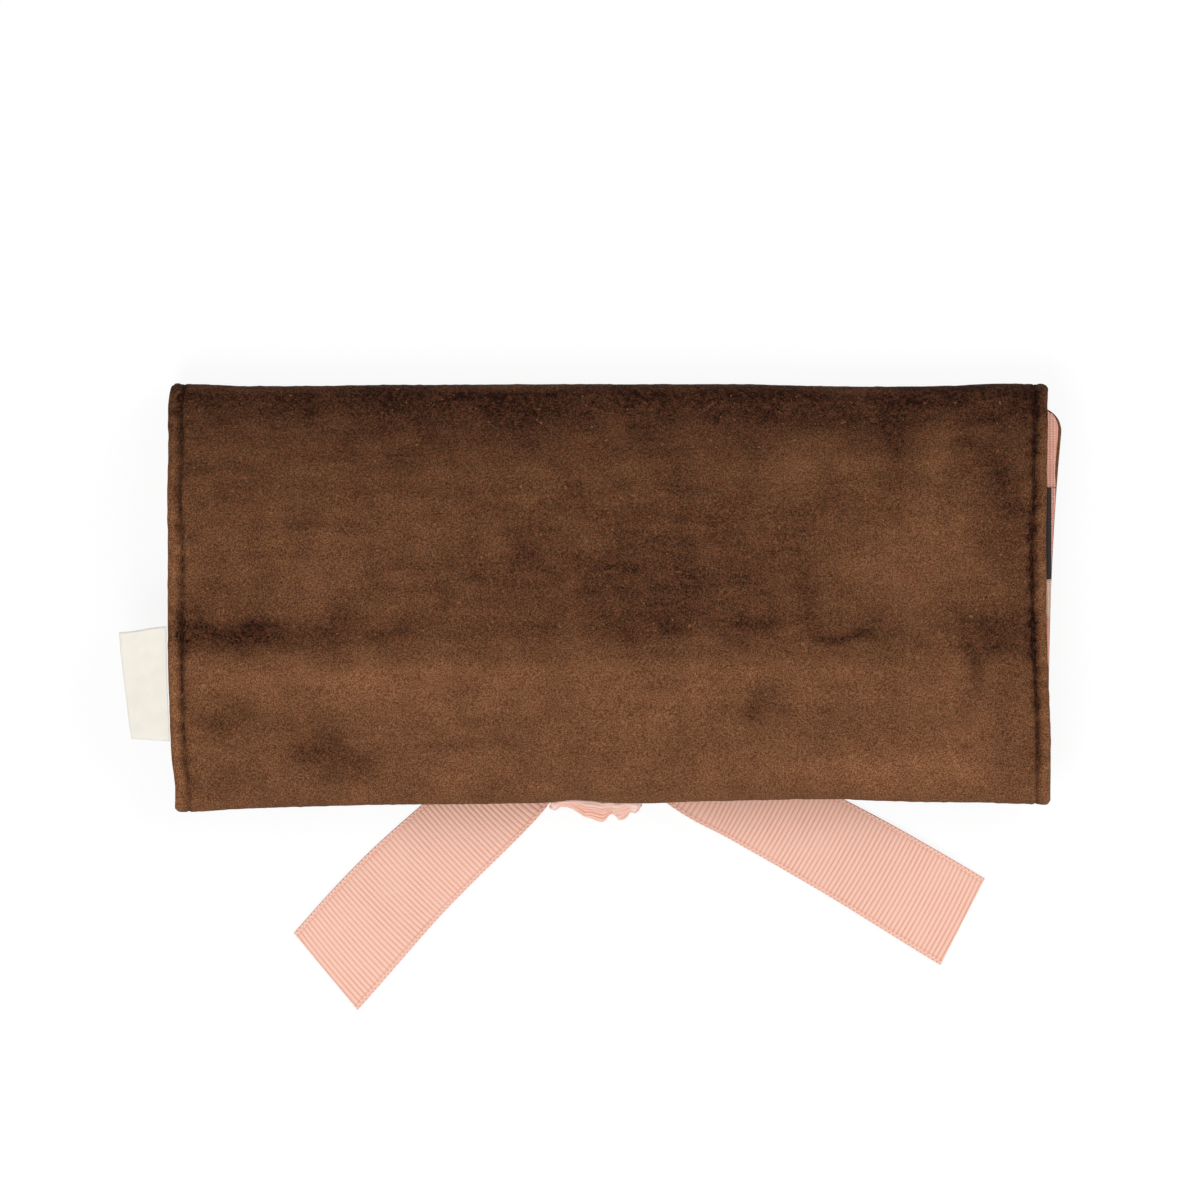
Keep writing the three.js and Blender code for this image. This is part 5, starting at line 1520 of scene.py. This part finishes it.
def ring_tab(side, name):
    """A flat strap from the ring roll's end to where it is sewn or snaps on, and its length."""
    end, rest, flat = (99.0, 4.1, 6.0) if side < 0 else (108.0, 6.8, 13.0)
    start, lay_down = RING_HALF - 3, end - flat
    x, z, widths = through([
        (start, RING_Z, 3.2),
        (RING_HALF + 0.3, RING_Z, 3.2),
        (RING_HALF + (lay_down - RING_HALF) * 0.45, RING_Z + (rest - RING_Z) * 0.45, 9.08),
        (lay_down, rest, 13),
        (end - flat / 3, rest, 13),
        (end, rest, 7.8),
    ], 60).T
    curve = np.column_stack([x * side, np.full(60, RING_Y), z])
    share = np.concatenate([[-1, -0.97, -0.9], np.linspace(-0.8, 0.8, 17), [0.9, 0.97, 1]])
    ahead = unit(np.gradient(curve, axis=0))
    normal = np.column_stack([-ahead[:, 2] * side, 0 * x, ahead[:, 0] * side])
    x, half = x[:, None], widths[:, None] / 2
    out = share * half
    edge = rounding(np.minimum((1 - np.abs(share)) / 0.12, (end - x) / 0.8), 0.06)
    stitched = 0.14 * hump(np.abs(out) - half + 1.4, 0.35)
    pleat = 0.16 * np.cos(share * 9) * hump(x - start, 7)
    centre = curve[:, None] + np.stack([0 * out, out, 0 * out], -1)
    lifts = [pleat + sign * (0.5 - stitched) * edge for sign in (1, -1)]
    points, faces = closed_slab(*[centre + normal[:, None] * lift[..., None] for lift in lifts])
    tone = 0.48 + 0.1 * wander(points[:, 0], points[:, 1], 9, 93)
    return new_piece(name, points, faces, "velvet", points[:, :2], tone), float(end - start)


def label_strip(start, end):
    """The bare side label: a woven strip folded at its outer edge, with both ends caught in the left seam."""
    half = 0.35
    bend = np.radians(np.linspace(-80, 80, 9))
    flat = np.linspace(0.3, LABEL_REACH - half, 28)
    section = np.vstack([
        np.column_stack([flat, np.full(28, -half)]),
        np.column_stack([LABEL_REACH - half + half * np.cos(bend), half * np.sin(bend)]),
        np.column_stack([flat[::-1], np.full(28, half)]),
    ])
    ahead = unit(np.gradient(section, axis=0))
    rows = np.linspace(0, 1, 60)[:, None]
    distance = start + (end - start) * rows
    y, z, normal_y, normal_z = COVER.at(distance)
    left = cover_sides(distance)[0]
    edge = rounding(np.minimum(rows, 1 - rows) / 0.012, 0.1)
    fan = 0.98 + (0.5 - rows) * 2.3 / LABEL_REACH
    skins = []
    for offset in (0.16, -0.16):
        out = section[:, 0] - ahead[:, 1] * offset * edge
        lift = section[:, 1] + ahead[:, 0] * offset * edge
        from_seam = smooth(out / LABEL_REACH)
        height = EDGE_MIDDLE - 0.25 + lift + 0.3 * from_seam * np.cos(rows * 5.2)
        slant = from_seam * (0.5 * rows - 1.4 * (1 - rows))
        skins.append(np.stack([left - out * fan, y + normal_y * height + slant, z + normal_z * height], -1))
    points, faces = closed_slab(*skins)
    surface = cloth_surface(run_along(section), rows * (end - start))
    return new_piece("side_label_strip", points, faces, "label", surface)


# Operators


def sizes_of(context):
    """The sizes that the panel shows."""
    return context.scene.jewelry_roll_sizes


class ROLL_OT_finishes(bpy.types.Operator):
    """Build the roll's materials and give the zip's teeth theirs"""

    bl_idname = "jewelry_roll.finishes"
    bl_label = "Finishes"

    def execute(self, context):
        make_finishes(context.scene.jewelry_roll_colours, sizes_of(context))
        for node in ("zip_teeth_upper", "zip_teeth_lower"):
            for place_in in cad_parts[node].material_slots:
                place_in.material = finish_named("zip_teeth")
        return {"FINISHED"}


class ROLL_OT_stage(bpy.types.Operator):
    """Lay the pale floor and set the light and the camera"""

    bl_idname = "jewelry_roll.stage"
    bl_label = "Stage"

    def execute(self, context):
        scene = context.scene
        scene.view_settings.view_transform = "Standard"
        bpy.ops.object.select_all(action="DESELECT")
        bpy.ops.mesh.primitive_plane_add(size=40, location=(0, 0, -0.0002))
        floor = context.object
        floor.name = "floor"
        floor.data.materials.append(floor_finish())

        world = bpy.data.worlds.new("Studio")
        scene.world = world
        world.use_nodes = True
        background = world.node_tree.nodes["Background"]
        background.inputs["Color"].default_value = (1, 1, 1, 1)
        background.inputs["Strength"].default_value = 0.42

        for name, where, turn, size, power in [
            ("key_light", (-0.6, -1.3, 2.2), (30.6, -15.3, 0), 1.2, 32),
            ("fill_light", (1.3, 0.5, 1.9), (-14.7, 34.4, 0), 1.6, 20),
        ]:
            lamp = bpy.data.lights.new(name, "AREA")
            lamp.size, lamp.energy = size, power
            light = bpy.data.objects.new(name, lamp)
            light.location = where
            light.rotation_euler = [math.radians(a) for a in turn]
            scene.collection.objects.link(light)

        lens = bpy.data.cameras.new("camera")
        camera = bpy.data.objects.new("camera", lens)
        camera.location = CAMERA_PLACE
        lens.sensor_width = SENSOR_WIDTH
        lens.lens = SENSOR_WIDTH * CAMERA_PLACE[2] / SHOWN_WIDTH
        lens.clip_end = 60
        scene.collection.objects.link(camera)
        scene.camera = camera
        return {"FINISHED"}


class ROLL_OT_velvet(bpy.types.Operator):
    """Make the two velvet shells: the outer cloth with its flap, and the inner panel"""

    bl_idname = "jewelry_roll.velvet"
    bl_label = "Velvet"

    def execute(self, context):
        sizes = sizes_of(context)
        cover = velvet_cover(sizes)
        layers = ("velvet", "wadding")
        nodes = [f"{part}_{layer}" for part in ("flap", "top_fold", "back_panel") for layer in layers]
        declare(cover, COVER_BEND, "velvet", *nodes)
        inner = velvet_inner(sizes)
        nodes = [f"{part}_{layer}" for part in ("bottom_fold", "inner_panel") for layer in layers]
        declare(inner, INNER_BEND, "velvet", *nodes)
        return {"FINISHED"}


class ROLL_OT_linings(bpy.types.Operator):
    """Lay the pink lining inside the outer cloth and on the inner panel"""

    bl_idname = "jewelry_roll.linings"
    bl_label = "Linings"

    def execute(self, context):
        rows = sheet_rows(COVER_RIM, COVER.length)
        lift = lining_lift(COVER.length, True, False)
        cover = sheet_on("cover_lining", "pink_lining", COVER, cover_sides, rows, COVER_RIM, lift)
        declare(cover, COVER_BEND, "lining", "flap_lining", "top_fold_lining", "back_panel_lining")
        rows = sheet_rows(0, INNER.length - INNER_RIM)
        lift = lining_lift(INNER.length, False, True)
        rim = np.interp(rows, INNER.mark["inner_root"] + np.array([70, 78]), [0.15, INNER_RIM])
        inner = sheet_on("inner_lining", "pink_lining", INNER, inner_sides, rows, rim, lift)
        declare(inner, INNER_BEND, "lining", "bottom_fold_lining", "inner_panel_lining")
        return {"FINISHED"}


class ROLL_OT_stitching(bpy.types.Operator):
    """Sew the topstitching round both velvet shells"""

    bl_idname = "jewelry_roll.stitching"
    bl_label = "Topstitching"

    def execute(self, context):
        sizes = sizes_of(context)
        height = float(edge_height(np.array(GROOVE_IN))) - SEAM_HOLLOW - sizes.groove_depth / MM
        start = GROOVE_IN + 3
        lines = [
            seam_line(COVER, cover_sides, side, start, COVER.length - 1, height, sizes, 11) for side in (-1, 1)
        ]
        lines.append(cross_line(COVER, cover_sides, GROOVE_IN, 1, height, sizes, 11))
        cover = stitching("cover_stitching", lines, sizes)
        declare(cover, COVER_BEND, "velvet")
        end = INNER.length - start
        lines = [seam_line(INNER, inner_sides, side, 1, end, height, sizes, 14) for side in (-1, 1)]
        lines.append(cross_line(INNER, inner_sides, INNER.length - GROOVE_IN, -1, height, sizes, 14))
        inner = stitching("inner_stitching", lines, sizes)
        declare(inner, INNER_BEND, "velvet")
        return {"FINISHED"}


# Where the zip's teeth meet along the inner panel, and how far from there the fabrics begin and the tapes lie.
ZIP = INNER.mark["inner_root"] + 61.072
FABRIC_START = 9.49
TAPE_START, TAPE_END = 1.89, 11.49


def drawn_ends(edge, reach, begin, width, depth):
    """Draws one edge of a zip's cloth along the panel at both its ends, from begin outwards."""

    def drawn(x, at):
        return reach * smooth((np.abs(x) - begin) / width) * smooth(1 - np.abs(at - edge) / depth)

    return drawn


class ROLL_OT_zip_pocket(bpy.types.Operator):
    """Make the zipped pocket: two fabrics, two tapes, and the slider, pull and stops"""

    bl_idname = "jewelry_roll.zip_pocket"
    bl_label = "Zipped pocket"

    def execute(self, context):
        root = INNER.mark["inner_root"]

        def pocket_lift(x, rows, from_side):
            """The fabrics rise off the panel from its side seams and are a little slack between them."""
            rise = smooth(from_side / 5) ** 0.8
            return -0.7 - 1.1 * rise - 0.07 * wander(x, rows, 13, 101) * smooth(from_side / 8)

        def tape_sides(rows):
            """The tapes end just inside the panel's sides."""
            left, right = inner_sides(rows)
            return left + 0.4, np.minimum(right - 0.1, 111.6)

        def tape_lift(x, rows, from_side):
            """The tapes rise in two steps from the side seams to the level of the teeth."""
            return np.interp(from_side, [0, 1.6, 2.6, 6.6], [-0.7, -1.4, -1.4, -2.5])

        front, strip = (ZIP + FABRIC_START, root + 91.444), (root + 39.382, ZIP - FABRIC_START)
        for node, finish, (start, end), edge, reach in [
            ("pocket_front", "pink_lining", front, front[0], 2.1),
            ("pocket_strip", "peach_lining", strip, strip[1], -2.1),
        ]:
            rows = sheet_rows(start, end)
            rim = np.interp(rows, root + np.array([70, 78]), [0.1, 0.9])
            drawn = drawn_ends(edge, reach, 101, 7, 9)
            piece = sheet_on(f"{node}_cloth", finish, INNER, inner_sides, rows, rim, pocket_lift, drawn=drawn)
            declare(piece, "inner_panel", "lining", node)
        upper, lower = (ZIP + TAPE_START, ZIP + TAPE_END), (ZIP - TAPE_END, ZIP - TAPE_START)
        for node, (start, end), edge, reach in [
            ("zip_tape_upper", upper, upper[0], -1.86),
            ("zip_tape_lower", lower, lower[1], 1.86),
        ]:
            rows = sheet_rows(start, end, 0.5)
            drawn = drawn_ends(edge, reach, 98, 5, 5)
            piece = sheet_on(f"{node}_cloth", "zip_tape", INNER, tape_sides, rows, 0.0, tape_lift, drawn=drawn)
            declare(piece, "inner_panel", "zip_tape", node)
        for node, body, width in [
            ("zip_slider", "zip_slider", 0.16),
            ("pull_tab", "pull_tab", 0.16),
            ("zip_stop_closed_end", "inner_panel", 0.12),
            ("zip_stop_upper", "inner_panel", 0.12),
            ("zip_stop_lower", "inner_panel", 0.12),
        ]:
            declare(rounded_copy(node, width), body, "metal", node)
        return {"FINISHED"}


class ROLL_OT_slip_pocket(bpy.types.Operator):
    """Make the slip pocket on the back panel's lining and its velvet hem"""

    bl_idname = "jewelry_roll.slip_pocket"
    bl_label = "Slip pocket"

    def execute(self, context):
        root = COVER.mark["back_top_root"]
        start, end = root + 52.991, root + 91.763
        hem_width = 5

        def pocket_lift(x, rows, from_side):
            """The pocket rises off the lining from its side seams, with a little slack."""
            slack = 0.08 * wander(x, rows, 15, 111) * smooth(from_side / 8)
            return -0.7 - 0.5 * smooth(from_side / 5) ** 0.8 - slack

        rows = sheet_rows(start, end)
        pocket = sheet_on("slip_pocket_cloth", "pink_lining", COVER, cover_sides, rows, 2.0, pocket_lift)
        declare(pocket, "back_panel", "lining", "slip_pocket")

        def hem_lift(x, rows, from_side):
            """The hem lies on the pocket and is rounded at both its edges."""
            edge = rounding(np.minimum(rows - start, start + hem_width - rows) / 0.4, 0.02)
            return pocket_lift(x, rows, from_side) - 0.72 + 0.12 * (1 - edge)

        rows = sheet_rows(start, start + hem_width, 0.25)
        hem = sheet_on("slip_pocket_hem_cloth", "velvet", COVER, cover_sides, rows, 2.0, hem_lift, tone=0.5)
        declare(hem, "back_panel", "velvet", "slip_pocket_hem")
        return {"FINISHED"}


class ROLL_OT_ring_bar(bpy.types.Operator):
    """Make the padded ring bar with its two tabs and its snap"""

    bl_idname = "jewelry_roll.ring_bar"
    bl_label = "Ring bar"

    def execute(self, context):
        roll = ring_roll()
        declare(roll, "ring_bar", "velvet", "ring_bar_cover", "ring_bar_filling")
        for side, name, node in [
            (-1, "ring_anchor_strap", "ring_bar_anchor_tab"),
            (1, "ring_snap_strap", "ring_bar_snap_tab"),
        ]:
            tab, length = ring_tab(side, name)
            declare(tab, "ring_bar", "velvet", node)
        for node, body in [("snap_stud", "flap"), ("snap_socket", "ring_bar"), ("snap_cap", "ring_bar")]:
            declare(rounded_copy(node, 0.18), body, "metal", node)
        return {"FINISHED"}


class ROLL_OT_bow(bpy.types.Operator):
    """Tie the bow: the knot, two loops and two tails that lie on the table"""

    bl_idname = "jewelry_roll.bow"
    bl_label = "Bow"

    def execute(self, context):
        sizes = sizes_of(context)
        knot, length = knot_band(sizes)
        declare(knot, "flap", "ribbon", "bow_knot")
        for side, name in [(-1, "left"), (1, "right")]:
            ribbon_piece(f"bow_loop_{name}", *bow_loop(side), sizes, held="gathered", pleat=loop_pleat)
        left_places = [(-22.6, -44.55), (-30.7, -53.55), (-51.8, -73.6), (-71.4, -95.3)]
        right_places = [(23.1, -45.5), (36.2, -52.4), (62.75, -66.85), (89.4, -82.75)]
        for side, name, slant, widths, spread, places in [
            (-1, "left", 1.86, (22.4, 25), 60, left_places),
            (1, "right", -0.8, (21.6, 24.5), 80, right_places),
        ]:
            tail = bow_tail(side, widths, spread, places)
            ribbon_piece(f"ribbon_tail_{name}", *tail, sizes, pleat=tail_pleat, slant=slant)
        return {"FINISHED"}


class ROLL_OT_sewn_ribbons(bpy.types.Operator):
    """Sew on the ribbon at the flap's edge and the crumpled one at the bottom fold"""

    bl_idname = "jewelry_roll.sewn_ribbons"
    bl_label = "Sewn ribbons"

    def execute(self, context):
        sizes = sizes_of(context)
        stations = [(-7, 3.9, 12.5), (-12.3, 3.9, 12.5), (-15.3, 3.9, 11), (-17.6, 4.1, 8), (-19.5, 4.1, 5)]
        y, z, half = through(stations, 50).T
        path = np.column_stack([np.full(50, KNOT[0]), y, z])
        across = np.tile([1.0, 0.0, 0.0], (50, 1))
        ribbon_piece("flap_ribbon", path, across, half, sizes, held="gathered")
        piece = declare(crumpled_ribbon(sizes), "inner_panel", "ribbon", "fold_ribbon")
        return {"FINISHED"}


class ROLL_OT_label(bpy.types.Operator):
    """Fold the bare side label and set it in the left seam"""

    bl_idname = "jewelry_roll.label"
    bl_label = "Side label"

    def execute(self, context):
        root = COVER.mark["back_top_root"]
        label = label_strip(root + 56.1, root + 84.9)
        declare(label, "back_panel", "label", "side_label")
        return {"FINISHED"}


OPERATORS = [
    ROLL_OT_finishes,
    ROLL_OT_stage,
    ROLL_OT_velvet,
    ROLL_OT_linings,
    ROLL_OT_stitching,
    ROLL_OT_zip_pocket,
    ROLL_OT_slip_pocket,
    ROLL_OT_ring_bar,
    ROLL_OT_bow,
    ROLL_OT_sewn_ribbons,
    ROLL_OT_label,
]


class ROLL_PT_panel(bpy.types.Panel):
    """The roll's steps, colours and sizes"""

    bl_idname = "ROLL_PT_panel"
    bl_label = "Jewelry Roll"
    bl_space_type = "VIEW_3D"
    bl_region_type = "UI"
    bl_category = "Jewelry Roll"

    def draw(self, context):
        for operator in OPERATORS:
            self.layout.operator(operator.bl_idname)
        for settings in (context.scene.jewelry_roll_colours, context.scene.jewelry_roll_sizes):
            box = self.layout.box()
            for name in settings.__annotations__:
                box.prop(settings, name)


CLASSES = [RollColours, RollSizes, *OPERATORS, ROLL_PT_panel]


def register():
    for cls in CLASSES:
        bpy.utils.register_class(cls)
    bpy.types.Scene.jewelry_roll_colours = PointerProperty(type=RollColours)
    bpy.types.Scene.jewelry_roll_sizes = PointerProperty(type=RollSizes)


def unregister():
    del bpy.types.Scene.jewelry_roll_colours
    del bpy.types.Scene.jewelry_roll_sizes
    for cls in reversed(CLASSES):
        bpy.utils.unregister_class(cls)


def main():
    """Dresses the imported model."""
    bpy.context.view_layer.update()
    register()
    bpy.ops.jewelry_roll.finishes()
    bpy.ops.jewelry_roll.stage()
    bpy.ops.jewelry_roll.velvet()
    bpy.ops.jewelry_roll.linings()
    bpy.ops.jewelry_roll.stitching()
    bpy.ops.jewelry_roll.zip_pocket()
    bpy.ops.jewelry_roll.slip_pocket()
    bpy.ops.jewelry_roll.ring_bar()
    bpy.ops.jewelry_roll.bow()
    bpy.ops.jewelry_roll.sewn_ribbons()
    bpy.ops.jewelry_roll.label()


if __name__ == "__main__":
    main()
